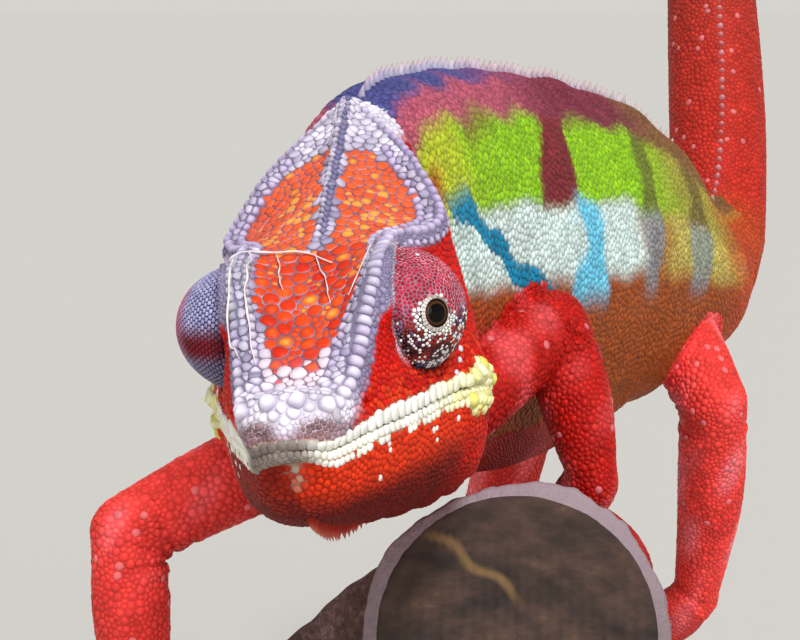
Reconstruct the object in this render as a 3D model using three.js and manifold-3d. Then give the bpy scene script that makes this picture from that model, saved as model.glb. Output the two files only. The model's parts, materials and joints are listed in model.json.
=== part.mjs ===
// A life-size male panther chameleon that grips a sloping cut branch, on a plain display stand.
// Millimetres, +Z up. The animal looks towards -Y, its trunk runs back and to +X, and the
// origin is the middle of the stand's underside.
import * as THREE from "three";
import { mergeVertices } from "three/addons/utils/BufferGeometryUtils.js";
import Module from "manifold-3d";

const wasm = await Module();
wasm.setup();

// ---------------------------------------------------------------- driving dimensions
const GAP = 0.3; // clear space between neighbouring pieces
const HALF_GAP = GAP / 2;

const BASE_LENGTH = 190; // along Y
const BASE_WIDTH = 136; // along X
const BASE_THICK = 10;
const BASE_CORNER = 12;
const BASE_CHAMFER = 1.2;
const ROD_RADIUS = 3.5;
const ROD_SIDES = 20;
const ROD_REACH = 118; // above the floor, before the log cuts it off
const ROD_PLACES = { front: [-2.5, -48], rear: [9, 60] };

const LOG_RADIUS = 20.5; // at its near cut end
const LOG_END_RADIUS = 18.5; // at its far cut end
const LOG_LENGTH = 172;
const LOG_START = new THREE.Vector3(-5, -72, 106.8); // middle of the near cut face
const LOG_YAW = 6; // degrees from +Y towards +X
const LOG_DROP = 19; // degrees that it falls towards the far end
const BRANCH_RADIUS = 7.2; // the side branch under the right hand
const BRANCH_ROOT_SWELL = 7; // extra radius where it leaves the log

// The head's own frame: X back from the snout tip, Y to the animal's left, Z up from the mouth line.
const HEAD_ORIGIN = new THREE.Vector3(-31.8, -116.4, 137.3);
const HEAD_YAW = 8.8; // degrees, the back of the head swings to +X
const HEAD_NOD = 2.3; // degrees, nose down
const HEAD_ROLL = -6.7; // degrees, its left side is up
const HEAD_LENGTH = 62; // snout tip to the tip of the casque
const NECK_CUT_FOOT = 42; // X where the cut between head and neck meets the throat
const NECK_CUT_SLOPE = 0.396; // how far that cut leans back for each mm up
const THROAT_Z = -15.5;

const EYE_CENTRE = [26.8, 9.9, 12.3]; // of the left turret, mirrored for the right
const TURRET_RADIUS = 7.9;
// Planes that keep each turret out of the skull: a point (Y, Z) and the way (Y, Z) to its kept side.
const TURRET_CUTS = [[5.4, 12, 1, 0], [7.9, 19.2, 0.85, -0.53]];
const EYEBALL_RADIUS = 3.5;
const EYEBALL_OUT = 4.65; // from the turret's centre along the gaze
const GAZE = { left: [-0.79, 0.61, 0.055], right: [0.06, -0.99, 0.1] }; // in the head frame

const TAIL_LENGTH = 232;
const TAIL_ROOT_RADIUS = 11;
const TAIL_TIP_RADIUS = 1.1;

const CREST_PITCH = 4.2; // between the spines along the back
const CREST_HEIGHT = 1.9;
const CREST_WIDTH = 1.0;
const SPINE_SUNK = 1.5; // length of any spine that is inside the skin
const GULAR_SPINES = 9; // under the jaw
const GULAR_START = 7; // X of the first one
const GULAR_PITCH = 3.6;
const GULAR_HEIGHT = 2.2;
const GULAR_TAPER = 0.12; // each one is this much shorter than the one before
const GULAR_WIDTH = 1.1;

// ---------------------------------------------------------------- small tools
const rad = THREE.MathUtils.degToRad;
const UP = new THREE.Vector3(0, 0, 1);

/** A smooth value through keyed numbers: cubic Hermite with the slope between a key's neighbours. */
function smooth(keys, x) {
  const last = keys.length - 1;
  if (x <= keys[0][0]) return keys[0][1];
  if (x >= keys[last][0]) return keys[last][1];
  let i = 0;
  while (x > keys[i + 1][0]) i++;
  const slope = (k) => {
    const a = keys[Math.max(k - 1, 0)];
    const b = keys[Math.min(k + 1, last)];
    return (b[1] - a[1]) / (b[0] - a[0]);
  };
  const h = keys[i + 1][0] - keys[i][0];
  const t = (x - keys[i][0]) / h;
  const t2 = t * t;
  const t3 = t2 * t;
  return (
    (2 * t3 - 3 * t2 + 1) * keys[i][1] +
    (t3 - 2 * t2 + t) * h * slope(i) +
    (-2 * t3 + 3 * t2) * keys[i + 1][1] +
    (t3 - t2) * h * slope(i + 1)
  );
}

/** One column of a table of stations, keyed by its first column. */
const column = (table, k) => table.map((row) => [row[0], row[k]]);

/** A closed solid through rings of equal length, with flat fans over both ends. */
function loft(rings) {
  const n = rings[0].length;
  const points = rings.flat();
  const faces = [];
  for (let r = 0; r + 1 < rings.length; r++) {
    for (let i = 0; i < n; i++) {
      const a = r * n + i;
      const b = r * n + ((i + 1) % n);
      faces.push(a, b, a + n, b, b + n, a + n);
    }
  }
  const lastRing = (rings.length - 1) * n;
  for (const [start, flip] of [[0, true], [lastRing, false]]) {
    const middle = new THREE.Vector3();
    for (let i = 0; i < n; i++) middle.addScaledVector(points[start + i], 1 / n);
    points.push(middle);
    for (let i = 0; i < n; i++) {
      const a = start + i;
      const b = start + ((i + 1) % n);
      faces.push(...(flip ? [b, a, points.length - 1] : [a, b, points.length - 1]));
    }
  }
  const geometry = new THREE.BufferGeometry().setFromPoints(points);
  geometry.setIndex(faces);
  return solidOf(geometry);
}

/** A manifold solid from any closed three.js geometry, turned to face out. */
function solidOf(geometry) {
  const bare = geometry.clone();
  bare.deleteAttribute("normal");
  bare.deleteAttribute("uv");
  const merged = mergeVertices(bare, 1e-4);
  const build = () =>
    new wasm.Manifold(
      new wasm.Mesh({
        numProp: 3,
        vertProperties: new Float32Array(merged.attributes.position.array),
        triVerts: new Uint32Array(merged.index.array),
      }),
    );
  const solid = build();
  if (solid.volume() > 0) return solid;
  const index = merged.index.array;
  for (let i = 0; i < index.length; i += 3) [index[i + 1], index[i + 2]] = [index[i + 2], index[i + 1]];
  return build();
}

/** The largest body of a solid, so that a cut leaves no crumbs. */
function largest(solid) {
  return solid.decompose().sort((a, b) => b.volume() - a.volume())[0];
}

const group = new THREE.Group();

/** Adds a solid to the model as one named mesh. */
function addPart(name, solid, colour, roughness, metalness = 0) {
  const mesh = largest(solid).getMesh();
  const geometry = new THREE.BufferGeometry();
  geometry.setAttribute("position", new THREE.BufferAttribute(new Float32Array(mesh.vertProperties), 3));
  geometry.setIndex(new THREE.BufferAttribute(new Uint32Array(mesh.triVerts), 1));
  geometry.computeVertexNormals();
  const material = new THREE.MeshStandardMaterial({ color: colour, roughness, metalness });
  const part = new THREE.Mesh(geometry, material);
  part.name = name;
  group.add(part);
}

const RED = 0xc8281c;
const GREEN = 0x86a832;
const LILAC = 0xb9adc6;
const GRANITE_DARK = 0x17110f;
const BARK = 0x5d4638;
const BOARD = 0xd8d4cc;
const STEEL = 0xb8babd;

// ---------------------------------------------------------------- the head frame
const headTurn = (() => {
  const yaw = rad(HEAD_YAW);
  const nod = rad(HEAD_NOD);
  const back = new THREE.Vector3(Math.sin(yaw) * Math.cos(nod), Math.cos(yaw) * Math.cos(nod), Math.sin(nod));
  const side = new THREE.Vector3().crossVectors(back, UP).normalize();
  side.applyAxisAngle(back, rad(HEAD_ROLL));
  const up = new THREE.Vector3().crossVectors(side, back);
  return { back, side, up };
})();

/** A point of the head frame, in the part's frame. */
function headPoint(x, y, z) {
  return HEAD_ORIGIN.clone()
    .addScaledVector(headTurn.back, x)
    .addScaledVector(headTurn.side, y)
    .addScaledVector(headTurn.up, z);
}

/** Keeps the part of a solid on the side of a plane that normal points to. */
function trim(solid, normal, point) {
  const n = normal.clone().normalize();
  return solid.trimByPlane([n.x, n.y, n.z], n.dot(point));
}

// ---------------------------------------------------------------- head
// Half widths and heights along the head, at X from the snout tip:
//        X   lip w  lip z cheek w cheek z ridge w ridge z mid z
const SKULL = [
  [0.4, 2.2, 2.6, 2.6, 3.2, 2.4, 4.6, 4.9],
  [1.6, 4.2, 1.9, 4.6, 3.0, 4.6, 5.5, 6.0],
  [4.0, 5.4, 1.8, 5.9, 3.6, 6.1, 6.5, 6.9],
  [8.0, 7.2, 2.0, 7.6, 4.6, 6.9, 8.3, 8.7],
  [12, 9.0, 2.1, 9.2, 5.6, 7.7, 11.4, 10.8],
  [16, 10.6, 2.0, 10.4, 6.6, 8.5, 15.0, 13.2],
  [20, 11.9, 1.9, 11.2, 7.6, 9.6, 18.2, 15.6],
  [25, 13.4, 1.9, 12.2, 8.4, 9.9, 20.2, 18.2],
  [31, 15.0, 1.6, 14.0, 9.0, 10.4, 20.9, 21.2],
  [37, 16.6, 0.7, 15.6, 9.0, 12.6, 20.6, 24.0],
  [43, 16.2, -2.0, 15.8, 8.0, 13.6, 21.8, 26.8],
  [49, 14.2, -5.0, 14.0, 7.0, 10.2, 27.2, 29.6],
  [55, 12.6, -7.0, 12.2, 7.0, 6.3, 30.8, 32.8],
  [61, 11.4, -8.0, 10.8, 7.0, 1.8, 34.6, 35.8],
];
const JAW_START = 2.2;
const MOUTH_CORNER = 38;
// Depth of the lower jaw and throat below the mouth line.
const JAW_DEPTH = [
  [JAW_START, -1.0],
  [2.9, -3.0],
  [4, -4.8],
  [6.5, -6.9],
  [11, -8.6],
  [18, -10.8],
  [28, -13],
  [38, -14.6],
  [46, THROAT_Z],
  [61, -17.5],
];

/** One ring of the skull above the mouth line, or of the whole head behind the mouth. */
function skullRing(x, floorZ) {
  const at = (k) => smooth(column(SKULL, k), x);
  const [lipW, lipZ, cheekW, cheekZ, ridgeW, ridgeZ, midZ] = [1, 2, 3, 4, 5, 6, 7].map(at);
  const low = floorZ === undefined ? lipZ : floorZ;
  const half = [
    [0, low],
    [lipW * (floorZ === undefined ? 0.93 : 0.55), low + (floorZ === undefined ? 0 : 1.2)],
    [lipW, floorZ === undefined ? lipZ + 0.7 : lipZ - 3],
    [lipW * 0.985, lipZ + 2.2],
    [cheekW, cheekZ],
    [THREE.MathUtils.lerp(cheekW, ridgeW, 0.7), THREE.MathUtils.lerp(cheekZ, ridgeZ, 0.7)],
    [ridgeW, ridgeZ - 0.5],
    [ridgeW * 0.86, ridgeZ + 0.5],
    [ridgeW * 0.45, THREE.MathUtils.lerp(ridgeZ, midZ, 0.62)],
    [0, midZ + 0.4],
  ];
  const other = half.slice(1, -1).reverse();
  return [...half.map(([y, z]) => headPoint(x, y, z)), ...other.map(([y, z]) => headPoint(x, -y, z))];
}

/** One U-shaped ring of the lower jaw. */
function jawRing(x) {
  const lipW = smooth(column(SKULL, 1), x) * 0.985;
  const top = smooth(column(SKULL, 2), x) - GAP;
  const depth = smooth(JAW_DEPTH, x);
  const steps = 7;
  const ring = [];
  for (let i = 0; i <= 2 * steps; i++) {
    const a = -Math.PI / 2 + (Math.PI * i) / (2 * steps);
    const y = lipW * Math.sign(Math.sin(a)) * Math.abs(Math.sin(a)) ** 0.62;
    ring.push(headPoint(x, y, top + (depth - top) * Math.cos(a) ** 0.8));
  }
  return ring;
}

/** Evenly spaced values from one number to another, with both ends. */
const stations = (from, to, count) =>
  Array.from({ length: count + 1 }, (_, i) => from + ((to - from) * i) / count);

function turretSolid(side, grow = 0) {
  const sign = side === "left" ? 1 : -1;
  const [x, y, z] = EYE_CENTRE;
  const ball = new THREE.SphereGeometry(TURRET_RADIUS + grow, 14, 9);
  const centre = headPoint(x, sign * y, z);
  ball.translate(centre.x, centre.y, centre.z);
  let solid = solidOf(ball);
  for (const [cutY, cutZ, turnY, turnZ] of TURRET_CUTS) {
    const normal = headTurn.side.clone().multiplyScalar(sign * turnY).addScaledVector(headTurn.up, turnZ);
    const point = headPoint(x, sign * cutY, cutZ).addScaledVector(normal.normalize(), -grow);
    solid = trim(solid, normal, point);
  }
  return solid;
}

function eyeballSolid(side, grow = 0) {
  const sign = side === "left" ? 1 : -1;
  const [x, y, z] = EYE_CENTRE;
  const gaze = new THREE.Vector3(...GAZE[side]).normalize().multiplyScalar(EYEBALL_OUT);
  const centre = headPoint(x + gaze.x, sign * y + gaze.y, z + gaze.z);
  const ball = new THREE.SphereGeometry(EYEBALL_RADIUS + grow, 12, 7);
  ball.translate(centre.x, centre.y, centre.z);
  return solidOf(ball);
}

/** The normal and a point of the leaning plane that parts head and neck, shifted back along X. */
function neckCut(shift) {
  const normal = headTurn.back.clone().addScaledVector(headTurn.up, -NECK_CUT_SLOPE).normalize();
  return { normal, point: headPoint(NECK_CUT_FOOT + shift, 0, THROAT_Z) };
}

function headSolid() {
  const frontStations = [0.4, 1.6, 4, 8, 12, 16, 20, 24, 29, 34, MOUTH_CORNER + 1];
  const front = loft(frontStations.map((x) => skullRing(x)));
  const rear = loft(
    [MOUTH_CORNER + GAP, 43, 48, 55, HEAD_LENGTH].map((x) => skullRing(x, smooth(JAW_DEPTH, x))),
  );
  let head = front.add(rear);
  for (const side of ["left", "right"]) head = head.subtract(turretSolid(side, GAP));
  const cut = neckCut(-HALF_GAP);
  return trim(head, cut.normal.clone().negate(), cut.point);
}

function jawSolid() {
  let jaw = loft([JAW_START, 3, 4.5, 7, 11, 16, 22, 28, 33, MOUTH_CORNER].map(jawRing));
  for (let i = 0; i < GULAR_SPINES; i++) {
    const x = GULAR_START + i * GULAR_PITCH;
    const root = headPoint(x, 0, smooth(JAW_DEPTH, x));
    jaw = jaw.add(spine(root, headTurn.up.clone().negate(), GULAR_HEIGHT - i * GULAR_TAPER, GULAR_WIDTH));
  }
  return jaw;
}

/** The turn that lays +Y along a direction of length one. */
const turnTo = (direction) => new THREE.Quaternion().setFromUnitVectors(new THREE.Vector3(0, 1, 0), direction);

/** A small four-sided spike whose root is sunk in the skin. */
function spine(root, direction, height, width) {
  const whole = height + SPINE_SUNK;
  const spike = new THREE.ConeGeometry(width, whole, 4);
  spike.translate(0, whole / 2 - SPINE_SUNK, 0);
  spike.applyQuaternion(turnTo(direction));
  spike.translate(root.x, root.y, root.z);
  return solidOf(spike);
}

// ---------------------------------------------------------------- neck, trunk and tail
// The body's middle line and its half sizes, at a running length s:
//        s    x     y     z     up   down  side
const BODY = [
  [0, -27.6, -74, 147.2, 11, 22, 10.6],
  [11, -26.2, -63, 148.1, 19, 23.6, 10.4],
  [19, -25.2, -55, 148.6, 26.8, 24.6, 10.4],
  [38, -19.8, -37, 148.5, 29.8, 27.0, 12.0],
  [58, -12.4, -18, 147.4, 30.8, 30.4, 13.4],
  [78, -4.0, 0, 146.0, 31.2, 32.2, 14.2],
  [98, 5.4, 18, 144.2, 30.8, 30.6, 14.4],
  [118, 15.4, 35, 142.0, 29.2, 26.6, 13.8],
  [137, 25.4, 51, 138.9, 25.4, 21.4, 12.2],
  [155, 34.6, 66, 135.6, 17.0, 15.6, 11.0],
  [169, 40.2, 78, 139.0, 12.2, 11.8, 9.8],
];
const BODY_LENGTH = 169;
// How far the back is pinched to a keel; the nape is broad instead.
const BODY_KEEL = [[0, -0.3], [24, -0.4], [60, 0.1], [95, 0.34], [135, 0.34], [BODY_LENGTH, 0.1]];
const NECK_END = 36;
const CREST_START = 20; // behind the casque
const TRUNK_END = 158;
// The tail's heading above the horizon and its heading from +Y towards +X, in degrees, along its length.
const TAIL_RISE = [[0, 38], [10, 54], [24, 60], [50, 62], [80, 56], [105, 40]];
const TAIL_HEADING = [[0, 20], [14, 9], [40, 1], [140, -2]];
const TAIL_CURL_START = 105;
const CURL_FIRST_RADIUS = 30;
const CURL_LAST_RADIUS = 4.4;
const TAIL_STEP = 1;
const TAIL_RADIUS = [
  [0, TAIL_ROOT_RADIUS],
  [12, 10.4],
  [35, 10.2],
  [60, 9.5],
  [105, 6.8],
  [150, 4.4],
  [200, 2.4],
  [TAIL_LENGTH, TAIL_TIP_RADIUS],
];

const TAIL_CUTS = [40, 104, 132, 158, 184, TAIL_LENGTH];
const TAIL_NAMES = ["tail_middle", "tail_bend", "tail_curl_outer", "tail_curl_under", "tail_tip"];
const TAIL_FACETS = [[8, 12], [5, 10], [5, 10], [4, 8], [3.4, 8]]; // step and sides of each length

/** The tail's middle line, walked in small steps of given headings, its curl tightening to the tip. */
const tailLine = (() => {
  const line = [];
  const at = new THREE.Vector3(...[1, 2, 3].map((k) => smooth(column(BODY, k), BODY_LENGTH)));
  let rise = TAIL_RISE[0][1];
  for (let s = 0; s <= TAIL_LENGTH; s += TAIL_STEP) {
    if (s <= TAIL_CURL_START) rise = smooth(TAIL_RISE, s);
    else {
      const share = ((s - TAIL_CURL_START) / (TAIL_LENGTH - TAIL_CURL_START)) ** 0.8;
      const radius = THREE.MathUtils.lerp(CURL_FIRST_RADIUS, CURL_LAST_RADIUS, share);
      rise -= THREE.MathUtils.radToDeg(TAIL_STEP / radius);
    }
    const heading = rad(smooth(TAIL_HEADING, s));
    const side = new THREE.Vector3(Math.cos(heading), -Math.sin(heading), 0);
    const along = new THREE.Vector3(Math.sin(heading), Math.cos(heading), 0);
    along.multiplyScalar(Math.cos(rad(rise)));
    along.z = Math.sin(rad(rise));
    line.push({ at: at.clone(), side, up: new THREE.Vector3().crossVectors(side, along) });
    at.addScaledVector(along, TAIL_STEP);
  }
  return line;
})();

/** A place on the body's line: middle, side and up directions. */
function bodyFrame(s) {
  const place = (u) => new THREE.Vector3(...[1, 2, 3].map((k) => smooth(column(BODY, k), u)));
  const along = place(Math.min(s + 0.5, BODY_LENGTH)).sub(place(Math.max(s - 0.5, 0))).normalize();
  const side = new THREE.Vector3().crossVectors(along, UP).normalize();
  return { at: place(s), side, up: new THREE.Vector3().crossVectors(side, along) };
}

const TRUNK_SIDES = 18;
/** An oval ring, pinched towards its top so that the back is keeled. */
function ovalRing({ at, side, up }, high, low, wide, keel, sides) {
  const ring = [];
  for (let i = 0; i < sides; i++) {
    const a = (2 * Math.PI * i) / sides;
    const pinch = Math.sin(a) > 0 ? keel : 0.12;
    const y = wide * Math.cos(a) * (1 - pinch * Math.sin(a) ** 2);
    const z = Math.sin(a) * (Math.sin(a) > 0 ? high : low);
    ring.push(at.clone().addScaledVector(side, y).addScaledVector(up, z));
  }
  return ring;
}

function bodyRing(s) {
  const size = (k) => smooth(column(BODY, k), s);
  const keel = smooth(BODY_KEEL, s);
  return ovalRing(bodyFrame(s), size(4), size(5), size(6), keel, TRUNK_SIDES);
}

function tailRing(s, sides) {
  const r = smooth(TAIL_RADIUS, s);
  const slim = smooth([[0, 0.92], [40, 0.96], [TAIL_LENGTH, 0.9]], s);
  return ovalRing(tailLine[Math.round(s / TAIL_STEP)], r, r, r * slim, 0.12, sides);
}

/** Adds the back's row of spines to a length of body or tail. */
function withCrest(solid, from, to, place) {
  const count = Math.floor((to - from) / CREST_PITCH);
  for (let i = 0; i <= count; i++) {
    const { root, up, fade } = place(from + i * CREST_PITCH);
    solid = solid.add(spine(root, up, CREST_HEIGHT * fade, CREST_WIDTH));
  }
  return solid;
}

function bodyCrest(s) {
  const frame = bodyFrame(s);
  const root = frame.at.clone().addScaledVector(frame.up, smooth(column(BODY, 4), s) - 0.1);
  return { root, up: frame.up, fade: smooth([[0, 0.8], [30, 1], [120, 0.95], [BODY_LENGTH, 0.7]], s) };
}

function tailCrest(s) {
  const frame = tailLine[Math.round(s / TAIL_STEP)];
  const root = frame.at.clone().addScaledVector(frame.up, smooth(TAIL_RADIUS, s) - 0.1);
  return { root, up: frame.up, fade: smooth([[0, 0.7], [70, 0.3]], s) };
}

function neckSolid() {
  const cut = neckCut(HALF_GAP);
  const bare = loft(stations(0, NECK_END - HALF_GAP, 4).map(bodyRing));
  return trim(withCrest(bare, CREST_START, NECK_END - 2, bodyCrest), cut.normal, cut.point);
}

function trunkSolid() {
  const solid = loft(stations(NECK_END + HALF_GAP, TRUNK_END - HALF_GAP, 13).map(bodyRing));
  return withCrest(solid, NECK_END + 2, TRUNK_END - 4, bodyCrest);
}

/** A plain length of the tail. */
function tailSolid(from, to, step, sides) {
  const last = to === TAIL_LENGTH ? to : to - HALF_GAP;
  const lengths = stations(from + HALF_GAP, last, Math.ceil((to - from) / step));
  return loft(lengths.map((s) => tailRing(s, sides)));
}

/** The hips behind the trunk with the first length of the tail. */
function tailRootSolid(to) {
  const hips = stations(TRUNK_END + HALF_GAP, BODY_LENGTH, 2).map(bodyRing);
  const tail = stations(6, to - HALF_GAP, 7).map((s) => tailRing(s, TRUNK_SIDES));
  const crested = withCrest(loft([...hips, ...tail]), TRUNK_END + 4, BODY_LENGTH - 2, bodyCrest);
  return withCrest(crested, 2, to - 3, tailCrest);
}

// ---------------------------------------------------------------- the perch
const logTurn = (() => {
  const yaw = rad(LOG_YAW);
  const drop = rad(LOG_DROP);
  const along = new THREE.Vector3(Math.sin(yaw), Math.cos(yaw), 0).multiplyScalar(Math.cos(drop));
  along.z = -Math.sin(drop);
  const side = new THREE.Vector3(Math.cos(yaw), -Math.sin(yaw), 0);
  return { along, side, up: new THREE.Vector3().crossVectors(side, along) };
})();

const logRadius = (l) => THREE.MathUtils.lerp(LOG_RADIUS, LOG_END_RADIUS, l / LOG_LENGTH);

/** A point round the log: l along it, angle from its top towards +X, distance from its middle. */
function logPoint(l, angle, distance) {
  return LOG_START.clone()
    .addScaledVector(logTurn.along, l)
    .addScaledVector(logTurn.side, distance * Math.sin(angle))
    .addScaledVector(logTurn.up, distance * Math.cos(angle));
}

const branchCurve = new THREE.QuadraticBezierCurve3(
  new THREE.Vector3(-4, -54, 106),
  new THREE.Vector3(-30, -53, 100),
  new THREE.Vector3(-64, -50, 60),
);

/** The round frame of the side branch at a share t of its length. */
function branchFrame(t) {
  const at = branchCurve.getPoint(t);
  const along = branchCurve.getTangent(t);
  const side = new THREE.Vector3().crossVectors(along, UP).normalize();
  return { at, along, side, up: new THREE.Vector3().crossVectors(side, along) };
}

function perchSolid(grow = 0) {
  const logSides = 24;
  const logRings = [0, 45, 90, 135, LOG_LENGTH].map((l, k, all) => {
    const end = k === 0 ? -grow : k === all.length - 1 ? grow : 0;
    const lumps = (a) => 0.35 * Math.sin(3 * a + l * 0.05) + 0.25 * Math.sin(5 * a - l * 0.08);
    return Array.from({ length: logSides }, (_, i) => {
      const a = (2 * Math.PI * i) / logSides;
      return logPoint(l + end, a, logRadius(l) + lumps(a) + grow);
    });
  });
  const branchSides = 12;
  const branchRings = stations(0, 1, 7).map((t) => {
    const frame = branchFrame(t);
    const radius = BRANCH_RADIUS + BRANCH_ROOT_SWELL * Math.max(0, 1 - t / 0.7) + grow;
    if (t === 1) frame.at.addScaledVector(frame.along, grow);
    return Array.from({ length: branchSides }, (_, i) => {
      const a = (2 * Math.PI * i) / branchSides;
      return frame.at
        .clone()
        .addScaledVector(frame.side, radius * Math.sin(a))
        .addScaledVector(frame.up, radius * Math.cos(a));
    });
  });
  return loft(logRings).add(loft(branchRings));
}

// ---------------------------------------------------------------- legs
const LIMB_SIDES = 9;
const LIMB_STEPS = 5;
const TOE_SIDES = 6;

/** A tapering limb through its joints; round says whether its start and its end are domes. */
function limbSolid(joints, thickness, count, round = [false, false]) {
  const lengths = [0];
  for (let i = 1; i < joints.length; i++) lengths.push(lengths[i - 1] + joints[i].distanceTo(joints[i - 1]));
  const total = lengths[lengths.length - 1];
  const key = (axis) => joints.map((j, i) => [lengths[i] / total, j[axis]]);
  const place = (t) => new THREE.Vector3(smooth(key("x"), t), smooth(key("y"), t), smooth(key("z"), t));
  const places = stations(0, 1, count).map((t) => ({ t, out: 0, share: 1 }));
  const dome = [32, 64].map((angle) => ({ out: Math.sin(rad(angle)), share: Math.cos(rad(angle)) }));
  if (round[0]) places.unshift(...dome.map((d) => ({ t: 0, out: -d.out, share: d.share })).reverse());
  if (round[1]) places.push(...dome.map((d) => ({ t: 1, out: d.out, share: d.share })));
  let side = null;
  const rings = places.map(({ t, out, share }) => {
    const along = place(Math.min(t + 0.02, 1)).sub(place(Math.max(t - 0.02, 0))).normalize();
    side = side ?? new THREE.Vector3().crossVectors(along, UP).normalize();
    side.addScaledVector(along, -side.dot(along)).normalize();
    const up = new THREE.Vector3().crossVectors(side, along);
    const r = smooth(thickness, t);
    const at = place(t).addScaledVector(along, out * r);
    return ovalRing({ at, side: side.clone(), up }, r * share, r * share, r * share * 0.95, 0, LIMB_SIDES);
  });
  return loft(rings);
}

/**
 * A gripping foot: a palm over the wood and two bundles of toes bent round it, each toe with a claw.
 * spot(angle, distance, shift) gives a point round the wood, angle from the palm, shift along the wood.
 */
function footSolid(spot, wrist, radius, span, toes, size) {
  const TOE = 2.3 * size;
  const clear = GAP + 0.1;
  const palmTop = spot(0, radius + clear + TOE * 1.1, 0);
  const palmSize = [[0, 4.3 * size], [0.5, 5 * size], [1, 4 * size]];
  const palm = limbSolid([wrist, wrist.clone().lerp(palmTop, 0.5), palmTop], palmSize, 2, [true, true]);
  let foot = palm;
  for (const [sign, count] of [[1, toes[0]], [-1, toes[1]]]) {
    const rings = stations(-0.16, 1, 4).map((t) => {
      const thick = TOE * smooth([[-0.16, 0.85], [0.2, 1.12], [0.7, 0.95], [1, 0.62]], t);
      const wide = count * TOE * 0.6 * smooth([[-0.16, 0.9], [0.3, 1.1], [0.8, 1.12], [1, 0.92]], t);
      const angle = sign * t * span;
      const middle = radius + clear + thick;
      return Array.from({ length: TOE_SIDES }, (_, i) => {
        const a = (2 * Math.PI * i) / TOE_SIDES;
        return spot(angle, middle + thick * Math.sin(a), wide * Math.cos(a));
      });
    });
    foot = foot.add(loft(rings));
    for (let k = 0; k < count; k++) {
      const shift = (k - (count - 1) / 2) * TOE * 1.15;
      const reach = 1.25 * TOE;
      const root = spot(sign * span * 0.97, radius + clear + TOE * 0.75, shift);
      const tip = spot(sign * (span + reach / radius), radius + clear + 0.3, shift);
      foot = foot.add(claw(root, tip, TOE * 0.42));
    }
  }
  return foot;
}

function claw(root, tip, width) {
  const along = tip.clone().sub(root);
  const cone = new THREE.ConeGeometry(width, along.length() * 1.5, 4);
  cone.translate(0, along.length() * 0.25, 0);
  cone.applyQuaternion(turnTo(along.clone().normalize()));
  cone.translate(root.x, root.y, root.z);
  return solidOf(cone);
}

const onLog = (l, around) => (angle, distance, shift) => logPoint(l + shift, around + angle, distance);
const onBranch = (t, around) => (angle, distance, shift) => {
  const { at, along, side, up } = branchFrame(t);
  return at
    .clone()
    .addScaledVector(along, shift)
    .addScaledVector(side, distance * Math.sin(around + angle))
    .addScaledVector(up, distance * Math.cos(around + angle));
};

const v = (x, y, z) => new THREE.Vector3(x, y, z);
// Joints run shoulder or hip, middle, elbow or knee, middle, wrist or ankle.
const ARM = [[0, 6.9], [0.5, 6.6], [1, 5.7]];
const FOREARM = [[0, 5.6], [0.45, 5.9], [1, 4.0]];
const THIGH = [[0, 7.8], [0.5, 7.6], [1, 6.6]];
const SHIN = [[0, 6.5], [0.45, 6.6], [1, 4.5]];
const LEGS = {
  arm_right: {
    joints: [
      v(-27, -37, 127.5),
      v(-44, -42.5, 121),
      v(-58, -47, 114.5),
      v(-57.4, -48.5, 101),
      v(-56.4, -49.5, 88),
    ],
    thickness: [ARM, FOREARM],
    spot: onBranch(0.81, 0),
    wood: BRANCH_RADIUS,
    span: rad(118),
    toes: [3, 2],
    size: 1,
  },
  arm_left: {
    joints: [v(-15, -46, 130), v(-6, -34, 135), v(2.9, -22, 140.1), v(6, -25.5, 129.2), v(8.6, -28.5, 117.6)],
    thickness: [ARM, FOREARM],
    spot: onLog(48, rad(14)),
    wood: logRadius(48),
    span: rad(38),
    toes: [2, 3],
    size: 0.95,
  },
  leg_left: {
    joints: [v(26, 68, 130), v(31, 53, 127), v(36, 41, 117), v(37, 50.5, 96.5), v(35.8, 58, 77)],
    thickness: [THIGH, SHIN],
    spot: onLog(137, rad(66)),
    wood: logRadius(137),
    span: rad(40),
    toes: [3, 2],
    size: 1.05,
  },
  leg_right: {
    joints: [v(27, 66, 130), v(14, 55, 125), v(3, 45, 118), v(-1, 49.5, 101), v(-6.6, 52.5, 84.5)],
    thickness: [THIGH, SHIN],
    spot: onLog(130, rad(-44)),
    wood: logRadius(130),
    span: rad(42),
    toes: [2, 3],
    size: 1.05,
  },
};

/** The upper length, the lower length and the foot of one leg, parted by planes at its joints. */
function addLeg(name, leg, body, perchGrown) {
  const [root, upperMiddle, bend, lowerMiddle, wrist] = leg.joints;
  const upper = limbSolid([root, upperMiddle, bend], leg.thickness[0], LIMB_STEPS, [false, true]);
  const lower = limbSolid([bend, lowerMiddle, wrist], leg.thickness[1], LIMB_STEPS, [true, false]);
  const foot = footSolid(leg.spot, wrist, leg.wood, leg.span, leg.toes, leg.size);
  const into = bend.clone().sub(upperMiddle).normalize();
  const out = lowerMiddle.clone().sub(bend).normalize();
  const parting = into.clone().add(out).normalize();
  const back = parting.clone().negate();
  const wristNormal = wrist.clone().sub(lowerMiddle).normalize();
  const fore = name.startsWith("arm");
  const upperCut = trim(upper, back, bend.clone().addScaledVector(parting, -HALF_GAP));
  const lowerCut = trim(
    trim(lower, parting, bend.clone().addScaledVector(parting, HALF_GAP)),
    wristNormal.clone().negate(),
    wrist.clone().addScaledVector(wristNormal, -HALF_GAP),
  );
  const footCut = trim(foot, wristNormal, wrist.clone().addScaledVector(wristNormal, HALF_GAP));
  addPart(`${name}_${fore ? "upper" : "thigh"}`, upperCut.subtract(body), RED, 0.6);
  addPart(`${name}_${fore ? "fore" : "shin"}`, lowerCut.subtract(body).subtract(perchGrown), RED, 0.6);
  addPart(`${name}_foot`, footCut.subtract(perchGrown), RED, 0.6);
}

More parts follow.
